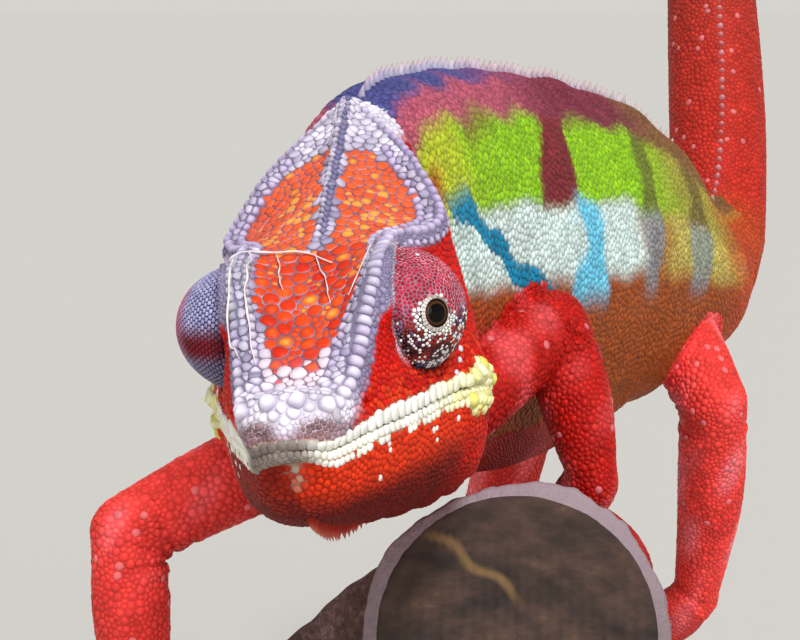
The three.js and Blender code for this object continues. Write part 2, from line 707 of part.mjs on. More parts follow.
// ---------------------------------------------------------------- the stand
function baseSolid() {
  const [w, l, c] = [BASE_WIDTH / 2 - BASE_CHAMFER, BASE_LENGTH / 2 - BASE_CHAMFER, BASE_CORNER];
  const outline = new THREE.Shape();
  outline.moveTo(-w + c, -l);
  const corners = [[1, -1], [1, 1], [-1, 1], [-1, -1]];
  corners.forEach(([x, y], k) => {
    const from = rad(90 * (k - 1));
    outline.absarc(x * (w - c), y * (l - c), c, from, from + Math.PI / 2, false);
  });
  const board = new THREE.ExtrudeGeometry(outline, {
    depth: BASE_THICK - BASE_CHAMFER,
    bevelEnabled: true,
    bevelThickness: BASE_CHAMFER,
    bevelSize: BASE_CHAMFER,
    bevelSegments: 1,
    curveSegments: 3,
  });
  return trim(solidOf(board), UP, new THREE.Vector3());
}

function rodSolid([x, y], perchGrown) {
  const height = ROD_REACH - BASE_THICK - GAP; // up into the log, which cuts it off
  const rod = new THREE.CylinderGeometry(ROD_RADIUS, ROD_RADIUS, height, ROD_SIDES);
  rod.rotateX(Math.PI / 2);
  rod.translate(x, y, BASE_THICK + GAP + height / 2);
  const pieces = solidOf(rod).subtract(perchGrown).decompose();
  return pieces.sort((a, b) => a.boundingBox().min[2] - b.boundingBox().min[2])[0];
}

// ---------------------------------------------------------------- assembly
addPart("head", headSolid(), LILAC, 0.6);
addPart("lower_jaw", jawSolid(), RED, 0.6);
for (const side of ["left", "right"]) {
  addPart(`eye_turret_${side}`, turretSolid(side).subtract(eyeballSolid(side, GAP)), RED, 0.6);
  addPart(`eye_${side}`, eyeballSolid(side), GRANITE_DARK, 0.15);
}
addPart("neck", neckSolid(), RED, 0.6);
addPart("trunk", trunkSolid(), GREEN, 0.6);
addPart("tail_root", tailRootSolid(TAIL_CUTS[0]), RED, 0.6);
TAIL_CUTS.slice(0, -1).forEach((from, i) => {
  const [step, sides] = TAIL_FACETS[i];
  addPart(TAIL_NAMES[i], tailSolid(from, TAIL_CUTS[i + 1], step, sides), RED, 0.6);
});

const bodyGrown = loft(
  stations(0, BODY_LENGTH, 15).map((s) => {
    const size = (k) => smooth(column(BODY, k), s) + GAP;
    const keel = smooth(BODY_KEEL, s);
    return ovalRing(bodyFrame(s), size(4), size(5), size(6), keel, TRUNK_SIDES);
  }),
);
const perchGrown = perchSolid(GAP);
for (const [name, leg] of Object.entries(LEGS)) addLeg(name, leg, bodyGrown, perchGrown);

addPart("perch", perchSolid(), BARK, 0.85);
addPart("stand_base", baseSolid(), BOARD, 0.7);
for (const [name, place] of Object.entries(ROD_PLACES)) {
  addPart(`stand_rod_${name}`, rodSolid(place, perchGrown), STEEL, 0.35, 1);
}

export default group;
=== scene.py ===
"""The looks of a life-size panther chameleon on a cut branch and stand.

Shapes are worked out in millimetres as whole arrays and become metres when they are made into meshes.
The skin is one surface: tubes for head, body, limbs and toes, joined, then folded. Every scale is a small
dome on it, its rim the middle line between it and its neighbours.
"""

import json
import math

import bpy
import numpy as np
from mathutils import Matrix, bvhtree, kdtree

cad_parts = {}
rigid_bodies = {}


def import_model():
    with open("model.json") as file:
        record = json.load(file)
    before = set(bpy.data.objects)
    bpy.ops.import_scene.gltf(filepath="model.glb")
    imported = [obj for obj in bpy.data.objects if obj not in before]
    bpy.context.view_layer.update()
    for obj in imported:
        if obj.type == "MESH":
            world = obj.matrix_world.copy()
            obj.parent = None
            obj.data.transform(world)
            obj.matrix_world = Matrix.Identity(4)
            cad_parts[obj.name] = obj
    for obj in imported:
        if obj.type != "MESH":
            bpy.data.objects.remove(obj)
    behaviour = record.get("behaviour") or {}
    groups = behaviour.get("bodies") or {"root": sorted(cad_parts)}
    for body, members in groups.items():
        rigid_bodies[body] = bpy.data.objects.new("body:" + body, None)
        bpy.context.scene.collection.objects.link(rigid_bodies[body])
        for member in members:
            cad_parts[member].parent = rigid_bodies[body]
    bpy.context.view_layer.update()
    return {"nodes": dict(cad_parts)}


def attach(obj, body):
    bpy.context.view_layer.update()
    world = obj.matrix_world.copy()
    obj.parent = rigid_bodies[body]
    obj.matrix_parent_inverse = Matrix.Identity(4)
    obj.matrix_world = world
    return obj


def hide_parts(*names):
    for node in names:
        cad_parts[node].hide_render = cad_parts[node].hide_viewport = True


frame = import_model()

MM = 0.001
TAU = 2 * math.pi
UP = np.array([0.0, 0.0, 1.0])
rng = np.random.default_rng(7)

# ---------------------------------------- camera
camera_data = bpy.data.cameras.new("camera")
camera_data.lens = 100
camera_data.sensor_width = 36
camera_data.clip_start = 0.01
camera = bpy.data.objects.new("camera", camera_data)
camera.location = (-0.020, -0.350, 0.187)
camera.rotation_euler = (math.radians(82), 0, 0)
bpy.context.collection.objects.link(camera)
bpy.context.scene.camera = camera


# ---------------------------------------- small maths
def norm(v):
    """The length of each vector."""
    return np.linalg.norm(v, axis=1)


def unit(v):
    """Vectors scaled to length 1."""
    return v / np.maximum(np.linalg.norm(v, axis=-1, keepdims=True), 1e-9)


def running(line):
    """The length along a line up to each of its points."""
    return np.concatenate([[0], np.cumsum(norm(np.diff(line, axis=0)))])


def smooth(keys, x):
    """Cubic Hermite through keyed rows, the slope at a key being that between its neighbours."""
    keys = np.asarray(keys, float)
    at, rows = keys[:, 0], keys[:, 1:]
    slope = np.empty_like(rows)
    slope[1:-1] = (rows[2:] - rows[:-2]) / (at[2:] - at[:-2])[:, None]
    slope[0] = (rows[1] - rows[0]) / (at[1] - at[0])
    slope[-1] = (rows[-1] - rows[-2]) / (at[-1] - at[-2])
    x = np.clip(np.asarray(x, float), at[0], at[-1])
    i = np.clip(np.searchsorted(at, x, "right") - 1, 0, len(at) - 2)
    h = (at[i + 1] - at[i])[..., None]
    t = (x - at[i])[..., None] / h
    value = (
        (2 * t**3 - 3 * t**2 + 1) * rows[i]
        + (t**3 - 2 * t**2 + t) * h * slope[i]
        + (3 * t**2 - 2 * t**3) * rows[i + 1]
        + (t**3 - t**2) * h * slope[i + 1]
    )
    return value[..., 0] if rows.shape[1] == 1 else value


def step(low, high, x):
    """0 below low, 1 above high, an S between."""
    t = np.clip((x - low) / (high - low), 0, 1)
    return t * t * (3 - 2 * t)


def bump(x, middle, width):
    """A bell of the given half width about its middle."""
    return np.exp(-(((x - middle) / width) ** 2))


def wave_noise(p, size, seed=0):
    """Smooth noise of about -1 to 1: a sum of sines along fixed odd directions, size its grain in mm."""
    draws = np.random.default_rng(100 + seed)
    total = np.zeros(len(p))
    for _ in range(7):
        way = unit(draws.normal(size=3)) * TAU / (size * draws.uniform(0.8, 1.9))
        total += np.sin(p @ way + draws.uniform(0, TAU))
    return total / 3.2


def spread(value, *shape):
    """A value repeated over an array of the given shape."""
    return np.broadcast_to(np.asarray(value, float), shape)


def linear(hex_code):
    """An sRGB hex colour as linear light."""
    c = np.array([int(hex_code[i : i + 2], 16) for i in (0, 2, 4)]) / 255
    return np.where(c <= 0.04045, c / 12.92, ((c + 0.055) / 1.055) ** 2.4)


def mix(a, b, share):
    """Colours a moved towards b by a share for each point; a and b are linear light or a hex colour."""
    a, b = (linear(c) if isinstance(c, str) else c for c in (a, b))
    return a + (b - a) * np.clip(share, 0, 1)[..., None]


# ---------------------------------------- the head's own frame
# X back from the snout tip, Y to the animal's left, Z up from the mouth line.
HEAD_ORIGIN = np.array([-31.8, -116.4, 137.3])
HEAD_YAW, HEAD_NOD, HEAD_ROLL = np.radians([8.8, 2.3, -6.7])


def head_axes():
    """Rows: the way back, to the left and up, yawed, then nodded, then rolled about the way back."""
    flat = math.cos(HEAD_NOD)
    back = np.array([math.sin(HEAD_YAW) * flat, math.cos(HEAD_YAW) * flat, math.sin(HEAD_NOD)])
    side = unit(np.cross(back, UP))
    side = side * math.cos(HEAD_ROLL) + np.cross(back, side) * math.sin(HEAD_ROLL)
    return np.stack([back, side, np.cross(side, back)])


HEAD_AXES = head_axes()


def from_head(p):
    """Places of the head's frame in the shared frame."""
    return HEAD_ORIGIN + np.asarray(p, float) @ HEAD_AXES


def to_head(p):
    """Places of the shared frame in the head's frame."""
    return (p - HEAD_ORIGIN) @ HEAD_AXES.T


# ---------------------------------------- tubes
def frames_along(line, first_side=None):
    """Directions along, to the side of and above each point of a line."""
    along = unit(np.gradient(line, axis=0))
    side = unit(np.cross(along, UP)) if first_side is None else np.broadcast_to(first_side, line.shape)
    side = unit(side - (side * along).sum(1, keepdims=True) * along)
    return along, side, np.cross(side, along)


def ovals(at, side, up, high, low, wide, keel, sides):
    """Rings of half height high or low and half width wide, narrowed upwards by the share keel."""
    a = TAU * np.arange(sides) / sides
    sin, cos = np.sin(a), np.cos(a)
    n = len(at)
    high, low, wide, keel = (np.broadcast_to(v, n)[:, None] for v in (high, low, wide, keel))
    pinch = np.where(sin > 0, keel, 0.12)
    y = wide * cos * (1 - pinch * sin**2)
    z = sin * np.where(sin > 0, high, low)
    return at[:, None] + side[:, None] * y[..., None] + up[:, None] * z[..., None]


def outward(points, faces):
    """A closed shell's faces, turned over if they enclose less than nothing."""
    a, b, c = (points[faces[:, k]] for k in range(3))
    return points, faces if (a * np.cross(b, c)).sum() > 0 else faces[:, ::-1]


def shell(rings):
    """A closed tube through rings (count, sides, 3), with a fan over each end."""
    n, m, _ = rings.shape
    row = np.arange(n - 1)[:, None] * m
    j = np.arange(m)[None]
    k = (j + 1) % m
    faces = [np.stack([row + j, row + k, row + m + j], -1), np.stack([row + k, row + m + k, row + m + j], -1)]
    first, last = n * m, n * m + 1
    j = np.arange(m)
    k = (j + 1) % m
    caps = [
        np.stack([k, j, np.full(m, first)], -1),
        np.stack([j, k, np.full(m, 0)], -1) + [(n - 1) * m, (n - 1) * m, last],
    ]
    points = np.concatenate([rings.reshape(-1, 3), rings[0].mean(0)[None], rings[-1].mean(0)[None]])
    return outward(points, np.concatenate([f.reshape(-1, 3) for f in faces + caps]))


def join(shells):
    """Several (points, faces) as one."""
    start = np.cumsum([0] + [len(p) for p, _ in shells[:-1]])
    return np.concatenate([p for p, _ in shells]), np.concatenate([f + s for (_, f), s in zip(shells, start)])


DOME_TILTS = np.radians([15, 30, 45, 60, 75, 84])


def capsule(joints, thickness, sides=28, count=26):
    """A tube along a smooth line through joints, its radius keyed by the share of length, with round ends."""
    joints = np.asarray(joints, float)
    lengths = running(joints)
    t = np.linspace(0, 1, count)
    line = smooth(np.column_stack([lengths / lengths[-1], joints]), t)
    along, side, up = frames_along(line)
    r = smooth(thickness, t)
    out, thin = np.sin(DOME_TILTS)[:, None], np.cos(DOME_TILTS)
    parts = [
        (line[0] - along[0] * (out * r[0])[::-1], side[:1], up[:1], (thin * r[0])[::-1]),
        (line, side, up, r),
        (line[-1] + along[-1] * (out * r[-1]), side[-1:], up[-1:], thin * r[-1]),
    ]
    at = np.concatenate([p[0] for p in parts])
    side = np.concatenate([np.broadcast_to(p[1], p[0].shape) for p in parts])
    up = np.concatenate([np.broadcast_to(p[2], p[0].shape) for p in parts])
    r = np.concatenate([p[3] for p in parts])
    return shell(ovals(at, side, up, r, r, r * 0.95, 0, sides))


def ball(centre, radii, axes=np.eye(3), count=24):
    """An ellipsoid of the given half sizes along the rows of axes."""
    a = np.linspace(-np.pi / 2, np.pi / 2, count)[1:-1]
    b = TAU * np.arange(2 * count) / (2 * count)
    x = np.cos(a)[:, None] * np.cos(b)
    y = np.cos(a)[:, None] * np.sin(b)
    z = np.broadcast_to(np.sin(a)[:, None], x.shape)
    return shell(np.asarray(centre) + np.stack([x, y, z], -1) * radii @ axes)


# ---------------------------------------- body measures
COAT = 0.3  # the skin lies this far inside the solids, and the scales fill it
#  X  lip w  lip z cheek w cheek z ridge w ridge z mid z
SKULL = [
    [0.4, 2.2, 2.6, 2.6, 3.2, 2.4, 4.6, 4.9],
    [1.6, 4.2, 1.9, 4.6, 3.0, 4.6, 5.5, 6.0],
    [4.0, 5.4, 1.8, 5.9, 3.6, 6.1, 6.5, 6.9],
    [8.0, 7.2, 2.0, 7.6, 4.6, 6.9, 8.3, 8.7],
    [12, 9.0, 2.1, 9.2, 5.6, 7.7, 11.4, 10.8],
    [16, 10.6, 2.0, 10.4, 6.6, 8.5, 15.0, 13.2],
    [20, 11.9, 1.9, 11.2, 7.6, 9.6, 18.2, 15.6],
    [25, 13.4, 1.9, 12.2, 8.4, 9.9, 20.2, 18.2],
    [31, 15.0, 1.6, 14.0, 9.0, 10.4, 20.9, 21.2],
    [37, 16.6, 0.7, 15.6, 9.0, 12.6, 20.6, 24.0],
    [43, 16.2, -2.0, 15.8, 8.0, 13.6, 21.8, 26.8],
    [49, 14.2, -5.0, 14.0, 7.0, 10.2, 27.2, 29.6],
    [55, 12.6, -7.0, 12.2, 7.0, 6.3, 30.8, 32.8],
    [61, 11.4, -8.0, 10.8, 7.0, 1.8, 34.6, 35.8],
]
JAW_DEPTH = [
    [0.4, 0.9], [1.6, 0.2], [2.2, -1.0], [2.9, -3.0], [4, -4.8], [6.5, -6.9],
    [11, -8.6], [18, -10.8], [28, -13], [38, -14.6], [46, -15.5], [61, -17.5],
]
MOUTH_CORNER = 38
EYE_PLACE = np.array([26.8, 9.9, 12.3])
TURRET = 7.6
EYEBALL = 3.5
EYEBALL_OUT = 4.5
GAZE = {"left": (-0.79, 0.61, 0.055), "right": (0.3, -0.95, 0.1)}
SIGN = {"left": 1, "right": -1}
# Folds round a turret: distance from its middle, first and last angle up from its front, thickness.
STRAPS = ((8.35, -40, 84, 0.5), (9.4, -12, 62, 0.55))

#  s    x     y     z     up   down  side
BODY = np.array([
    [0, -27.6, -74, 147.2, 11, 22, 10.6],
    [11, -26.2, -63, 148.1, 19, 23.6, 10.4],
    [19, -25.2, -55, 148.6, 26.8, 24.6, 10.4],
    [38, -19.8, -37, 148.5, 29.8, 27.0, 12.0],
    [58, -12.4, -18, 147.4, 30.8, 30.4, 13.4],
    [78, -4.0, 0, 146.0, 31.2, 32.2, 14.2],
    [98, 5.4, 18, 144.2, 30.8, 30.6, 14.4],
    [118, 15.4, 35, 142.0, 29.2, 26.6, 13.8],
    [137, 25.4, 51, 138.9, 25.4, 21.4, 12.2],
    [155, 34.6, 66, 135.6, 17.0, 15.6, 11.0],
    [169, 40.2, 78, 139.0, 12.2, 11.8, 9.8],
])
BODY_LENGTH = 169
BODY_KEEL = [[0, -0.3], [24, -0.4], [60, 0.1], [95, 0.34], [135, 0.34], [BODY_LENGTH, 0.1]]
TAIL_LENGTH = 232
TAIL_RISE = [[0, 38], [10, 54], [24, 60], [50, 62], [80, 56], [105, 40]]
TAIL_HEADING = [[0, 20], [14, 9], [40, 1], [140, -2]]
TAIL_CURL_START = 105
CURL_RADII = (30, 4.4)
TAIL_RADIUS = [
    [0, 11], [12, 10.4], [35, 10.2], [60, 9.5], [105, 6.8], [150, 4.4], [200, 2.4], [TAIL_LENGTH, 1.1],
]

LOG_RADII = (20.5, 18.5)
LOG_LENGTH = 172
LOG_START = np.array([-5, -72, 106.8])
LOG_YAW, LOG_DROP = np.radians([6, 19])
BRANCH = np.array([[-4, -54, 106], [-30, -53, 100], [-64, -50, 60.0]])
BRANCH_RADIUS = 7.2
BRANCH_ROOT_SWELL = 7

ARM = [[0, 6.9], [0.5, 6.6], [1, 5.7]]
FOREARM = [[0, 5.6], [0.45, 5.9], [1, 4.0]]
THIGH = [[0, 7.8], [0.5, 7.6], [1, 6.6]]
SHIN = [[0, 6.5], [0.45, 6.6], [1, 4.5]]
# For each limb: its joints from the root over the elbow or knee to the wrist, upper and lower thickness, the
# wood under the foot with a share of the branch or a length of the log and an angle round it in degrees, the
# angle that each bundle of toes reaches, toes in the two bundles, and the foot's size.
LEGS = {
    "arm_right": {
        "joints": [
            (-27, -37, 127.5), (-44, -42.5, 121), (-58, -47, 114.5),
            (-57.4, -48.5, 101), (-56.4, -49.5, 88),
        ],
        "thickness": (ARM, FOREARM),
        "grip": ("branch", 0.81, 0),
        "span": 118,
        "toes": (3, 2),
        "size": 1,
    },
    "arm_left": {
        "joints": [
            (-15, -46, 130), (-6, -34, 135), (2.9, -22, 140.1),
            (6, -25.5, 129.2), (8.6, -28.5, 117.6),
        ],
        "thickness": (ARM, FOREARM),
        "grip": ("log", 48, 14),
        "span": 38,
        "toes": (2, 3),
        "size": 0.95,
    },
    "leg_left": {
        "joints": [
            (26, 68, 130), (31, 53, 127), (36, 41, 117),
            (37, 50.5, 96.5), (35.8, 58, 77),
        ],
        "thickness": (THIGH, SHIN),
        "grip": ("log", 137, 66),
        "span": 40,
        "toes": (3, 2),
        "size": 1.05,
    },
    "leg_right": {
        "joints": [
            (27, 66, 130), (14, 55, 125), (3, 45, 118),
            (-1, 49.5, 101), (-6.6, 52.5, 84.5),
        ],
        "thickness": (THIGH, SHIN),
        "grip": ("log", 130, -44),
        "span": 42,
        "toes": (2, 3),
        "size": 1.05,
    },
}


# ---------------------------------------- lines of the body and the wood
def body_line(s):
    """Middle, side and up directions and half sizes of neck and trunk at running lengths s."""
    row = smooth(BODY, s)
    ahead, behind = (smooth(BODY[:, :4], np.clip(s + shift, 0, BODY_LENGTH)) for shift in (0.5, -0.5))
    along = unit(ahead - behind)
    side = unit(np.cross(along, UP))
    return row[:, :3], side, np.cross(side, along), row[:, 3], row[:, 4], row[:, 5]


def tail_line():
    """The tail's middle, walked in 1 mm steps of given headings, its curl tightening to the tip."""
    s = np.arange(TAIL_LENGTH + 1.0)
    share = np.clip((s - TAIL_CURL_START) / (TAIL_LENGTH - TAIL_CURL_START), 0, 1) ** 0.8
    turn = np.degrees(1 / (CURL_RADII[0] + (CURL_RADII[1] - CURL_RADII[0]) * share))
    rise = np.radians(smooth(TAIL_RISE, s) - np.cumsum(np.where(s > TAIL_CURL_START, turn, 0)))
    heading = np.radians(smooth(TAIL_HEADING, s))
    side = np.stack([np.cos(heading), -np.sin(heading), 0 * s], 1)
    along = np.stack([np.sin(heading) * np.cos(rise), np.cos(heading) * np.cos(rise), np.sin(rise)], 1)
    at = BODY[-1, 1:4] + np.concatenate([np.zeros((1, 3)), np.cumsum(along[:-1], axis=0)])
    return s, at, side, np.cross(side, along)


def log_axes():
    """The log's directions: along it, down to its far end, to its side, and up from its bark."""
    cos = math.cos(LOG_DROP)
    along = np.array([math.sin(LOG_YAW) * cos, math.cos(LOG_YAW) * cos, -math.sin(LOG_DROP)])
    side = np.array([math.cos(LOG_YAW), -math.sin(LOG_YAW), 0])
    return along, side, np.cross(side, along)


LOG_ALONG, LOG_SIDE, LOG_UP = log_axes()


def log_radius(length):
    """The log tapers evenly from end to end."""
    return LOG_RADII[0] + (LOG_RADII[1] - LOG_RADII[0]) * length / LOG_LENGTH


def branch_point(t):
    """The side branch's middle: a quadratic Bezier curve."""
    t = np.asarray(t, float)[..., None]
    return (1 - t) ** 2 * BRANCH[0] + 2 * t * (1 - t) * BRANCH[1] + t**2 * BRANCH[2]


def branch_axes(t):
    """The side branch's directions: along it, to its side, and up from its bark."""
    t = np.asarray(t, float)[..., None]
    along = unit(2 * (1 - t) * (BRANCH[1] - BRANCH[0]) + 2 * t * (BRANCH[2] - BRANCH[1]))
    side = unit(np.cross(along, UP))
    return along, side, np.cross(side, along)


def grip_spot(grip):
    """A function of points round the wood (angle from the palm, distance out, shift along) and its radius."""
    wood, where, around = grip
    around = math.radians(around)
    if wood == "log":
        middle, along, side, up = LOG_START, LOG_ALONG, LOG_SIDE, LOG_UP
        where_along, radius = where, log_radius(where)
    else:
        middle, (along, side, up) = branch_point(where), branch_axes(where)
        where_along, radius = 0, BRANCH_RADIUS

    def spot(angle, distance, shift):
        """A circle's sine and cosine round the wood's middle, moved along it."""
        a = around + np.asarray(angle, float)
        d, shift = np.asarray(distance, float)[..., None], np.asarray(shift, float)[..., None]
        out = side * np.sin(a)[..., None] + up * np.cos(a)[..., None]
        return middle + along * (where_along + shift) + out * d

    return spot, radius


# ---------------------------------------- the skin's first form
#  the jaw's round underside: share of the lip's half width, share of the depth under the lip
JAW_BOWL = ((0, 1), (0.34, 0.985), (0.62, 0.91), (0.86, 0.7), (0.97, 0.38))


def head_profile(x):
    """Half outlines of the head at stations x: (stations, points, 2) from the chin up to the crown."""
    lip_w, lip_z, cheek_w, cheek_z, ridge_w, ridge_z, mid_z = smooth(SKULL, x).T
    depth = smooth(JAW_DEPTH, x)
    drop = depth - lip_z
    jaw = [(u * lip_w, lip_z + v * drop) for u, v in JAW_BOWL]
    skull = [
        (lip_w, lip_z),
        (lip_w * 0.985, lip_z + 2.2),
        (cheek_w, cheek_z),
        (cheek_w + (ridge_w - cheek_w) * 0.7, cheek_z + (ridge_z - cheek_z) * 0.7),
        (ridge_w, ridge_z - 0.7),
        (ridge_w * 0.88, ridge_z + 0.3),
        (ridge_w * 0.45, ridge_z + (mid_z - ridge_z) * 0.62),
        (0 * mid_z, mid_z + 0.1),
    ]
    return np.stack([np.stack(p, -1) for p in jaw + skull], 1)


def head_shell():
    """The head's half outlines mirrored into rings, rounded by a Catmull-Rom curve, less the coat."""
    x = np.concatenate([[0.4, 0.8, 1.2], np.linspace(1.6, 61.5, 110)])
    half = head_profile(x)
    whole = np.concatenate([half, half[:, -2:0:-1] * [-1, 1]], 1)
    count = whole.shape[1]
    u = np.linspace(0, count, 132, endpoint=False)
    i, t = u.astype(int), (u % 1)[None, :, None]
    a, b, c, d = (whole[:, (i + k) % count] for k in (-1, 0, 1, 2))
    ring = 0.5 * (2 * b + (c - a) * t + (2 * a - 5 * b + 4 * c - d) * t**2 + (3 * b - a - 3 * c + d) * t**3)
    points = np.concatenate([np.broadcast_to(x[:, None, None], ring.shape[:2] + (1,)), ring], -1)
    inset = 1 - COAT / np.maximum(np.linalg.norm(ring, axis=-1, keepdims=True), 2)
    points[..., 1:] = (points[..., 1:] - [0, 5]) * inset + [0, 5]
    return shell(from_head(points))


#  X, Y and Z of the brow ridge's edge, from the snout to behind the eye and up the casque to its tip
RIDGE_EDGE = [
    [2.2, 4.2, 5.0],
    [4, 5.7, 6.0],
    [8, 6.6, 7.6],
    [12, 7.4, 10.6],
    [16, 8.1, 14.7],
    [20, 9.2, 18.2],
    [24, 9.5, 19.9],
    [28, 9.6, 20.5],
    [31, 9.8, 20.7],
    [34, 11.4, 20.3],
    [37, 12.9, 20.2],
    [40, 13.9, 20.8],
    [44, 13.2, 22.6],
    [48, 10.6, 26.5],
    [52, 8.5, 28.9],
    [56, 5.6, 31.5],
    [60, 2.2, 34.2],
]
RIDGE_THICK = [[0, 1.3], [0.3, 1.45], [0.55, 1.35], [0.8, 1.5], [1, 1.2]]
CROWN_THICK = [[0, 0.5], [0.3, 1.0], [1, 1.2]]
#  the knob on the snout: middle and half sizes of two balls in the head's frame
SNOUT_BALLS = (((4.0, 0, 5.2), (3.2, 5.6, 2.0)), ((4.2, -0.2, 6.5), (2.6, 5.7, 1.9)))


def ridge_edge(x):
    """Y and Z of the brow ridge's edge at X."""
    return smooth(RIDGE_EDGE, x)


def turret_frame(side):
    """A turret's middle, and two directions across its gaze and the gaze itself, in the head's frame."""
    gaze = unit(np.array(GAZE[side]))
    across = unit(np.cross(gaze, UP))
    return EYE_PLACE * [1, SIGN[side], 1], np.stack([across, np.cross(across, gaze), gaze])


def turret_radius(away):
    """A ball that rises to a low cone round the gaze; away is the angle from it in degrees."""
    return TURRET - 0.15 + 0.35 * bump(away, 0, 34) - 0.15 * bump(away, 60, 24)


def turret_shell(side):
    """A ball whose radius depends on the angle from the gaze."""
    middle, axes = turret_frame(side)
    points, faces = ball((0, 0, 0), 1.0, count=40)
    away = np.degrees(np.arccos(np.clip(points @ axes[2], -1, 1)))
    return from_head(points * turret_radius(away)[:, None] + middle), faces


def strap_shells():
    """Two soft folds that hug the front and top of each turret, under the brow ridge."""
    shells = []
    for sign in (1, -1):
        for far, first, last, thick in STRAPS:
            a = np.radians(np.linspace(first, last, 30))
            x = EYE_PLACE[0] - far * np.cos(a)
            z = EYE_PLACE[2] + far * np.sin(a)
            _, _, cheek_w, cheek_z, ridge_w, ridge_z, _ = smooth(SKULL, x).T
            y = cheek_w + (ridge_w - cheek_w) * np.clip((z - cheek_z) / (ridge_z - cheek_z), 0, 1)
            line = from_head(np.column_stack([x, sign * (y + 0.15), z]))
            shells.append(capsule(line, [[0, 0.3], [0.3, thick], [0.7, thick], [1, 0.4]], sides=14, count=50))
    return shells


#  by the share of the toes' reach round the wood: a bundle's half thickness and half width, a toe's radius
BUNDLE_THICK = [[-0.16, 0.8], [0.2, 1.02], [0.7, 0.86], [0.84, 0.7]]
BUNDLE_WIDE = [[-0.16, 0.85], [0.3, 1.05], [0.84, 0.95]]
TOE_THICK = [[0.25, 0.74], [0.8, 0.72], [0.99, 0.52]]


def foot_shells(leg):
    """A palm, two bundles of toes bent round the wood as arcs with oval sections, and a tube for each toe."""
    spot, radius = grip_spot(leg["grip"])
    toe, span = 2.3 * leg["size"], math.radians(leg["span"])
    wrist = np.array(leg["joints"][-1])
    clear = 0.2
    top = spot(0.0, radius + clear + toe * 1.1, 0.0)
    size = leg["size"]
    palm = [[0, 4.2 * size], [0.5, 4.8 * size], [1, 3.9 * size]]
    shells = [capsule([wrist, (wrist + top) / 2, top], palm, count=8)]
    claws = []
    for sign, count in ((1, leg["toes"][0]), (-1, leg["toes"][1])):
        t = np.linspace(-0.16, 0.84, 22)
        thick = toe * smooth(BUNDLE_THICK, t)[:, None]
        wide = count * toe * 0.56 * smooth(BUNDLE_WIDE, t)[:, None]
        a = TAU * np.arange(24) / 24
        turn = (sign * t * span)[:, None] + 0 * a
        shells.append(shell(spot(turn, radius + clear + thick + thick * np.sin(a), wide * np.cos(a))))
        for k in range(count):
            shift = (k - (count - 1) / 2) * toe * 1.12
            t = np.linspace(0.25, 0.99, 9)
            r = toe * smooth(TOE_THICK, t)
            line = spot(sign * t * span, radius + clear + r * 1.1, shift * (0.9 + 0.1 * t))
            shells.append(capsule(line, np.column_stack([np.linspace(0, 1, 9), r]), sides=16, count=16))
            claws.append((spot, radius, sign, span, toe, shift))
    return shells, claws


def limb_shells(leg):
    """Two tubes through the joints: root to elbow or knee, and on to the wrist."""
    joints = np.array(leg["joints"], float)
    upper, lower = (np.array(k, float) - [0, COAT] for k in leg["thickness"])
    return [capsule(joints[:3], upper), capsule(joints[2:], lower)]


def first_skin():
    """All tubes and balls under the skin, and the places of the claws."""
    s = np.linspace(0, BODY_LENGTH, 150)
    at, side, up, high, low, wide = body_line(s)
    rings = [ovals(at, side, up, high - COAT, low - COAT, wide - COAT, smooth(BODY_KEEL, s), 72)]
    s, at, side, up = tail_line()
    keep = s >= 5
    r = smooth(TAIL_RADIUS, s) - COAT * step(TAIL_LENGTH, 100, s) - 0.05
    slim = smooth([[0, 0.92], [40, 0.96], [TAIL_LENGTH, 0.9]], s)
    rings.append(ovals(at[keep], side[keep], up[keep], r[keep], r[keep], (r * slim)[keep], 0.12, 72))
    shells = [shell(np.concatenate(rings)), head_shell()]
    shells += [turret_shell(side) for side in SIGN] + strap_shells()
    x = np.linspace(2.2, 60, 60)
    edge = ridge_edge(x)
    for sign in (1, -1):
        line = np.column_stack([x, sign * (edge[:, 0] - 1.2), edge[:, 1] - 0.85])
        shells.append(capsule(from_head(line), RIDGE_THICK, sides=16, count=90))
    x = np.linspace(33, 60, 20)
    crown = np.column_stack([x, 0 * x, smooth(SKULL, x)[:, 6] - 0.2])
    shells.append(capsule(from_head(crown), CROWN_THICK, sides=16, count=40))
    shells += [ball(from_head(middle), radii, HEAD_AXES) for middle, radii in SNOUT_BALLS]
    claws = []
    for leg in LEGS.values():
        shells += limb_shells(leg)
        toes, tips = foot_shells(leg)
        shells += toes
        claws += tips
    return join(shells), claws


# ---------------------------------------- meshes and pieces
def new_mesh(name, points, faces, colours=None, uvs=None):
    """A smooth mesh from arrays in millimetres, with a colour and a place in the chart for each point."""
    mesh = bpy.data.meshes.new(name)
    faces = np.asarray(faces, np.int32)
    corners = faces.shape[1]
    mesh.vertices.add(len(points))
    mesh.vertices.foreach_set("co", (np.asarray(points, np.float32) * MM).ravel())
    mesh.loops.add(faces.size)
    mesh.loops.foreach_set("vertex_index", faces.ravel())
    mesh.polygons.add(len(faces))
    mesh.polygons.foreach_set("loop_start", np.arange(0, faces.size, corners, dtype=np.int32))
    mesh.polygons.foreach_set("use_smooth", np.ones(len(faces), bool))
    if colours is not None:
        layer = mesh.attributes.new("Markings", "FLOAT_COLOR", "POINT")
        rgba = np.concatenate([np.clip(colours, 0, 1), np.ones((len(colours), 1))], 1)
        layer.data.foreach_set("color", rgba.astype(np.float32).ravel())
    if uvs is not None:
        layer = mesh.uv_layers.new(name="OFBake")
        layer.data.foreach_set("uv", uvs[faces.ravel()].astype(np.float32).ravel())
    mesh.update(calc_edges=True)
    mesh.validate()
    return mesh


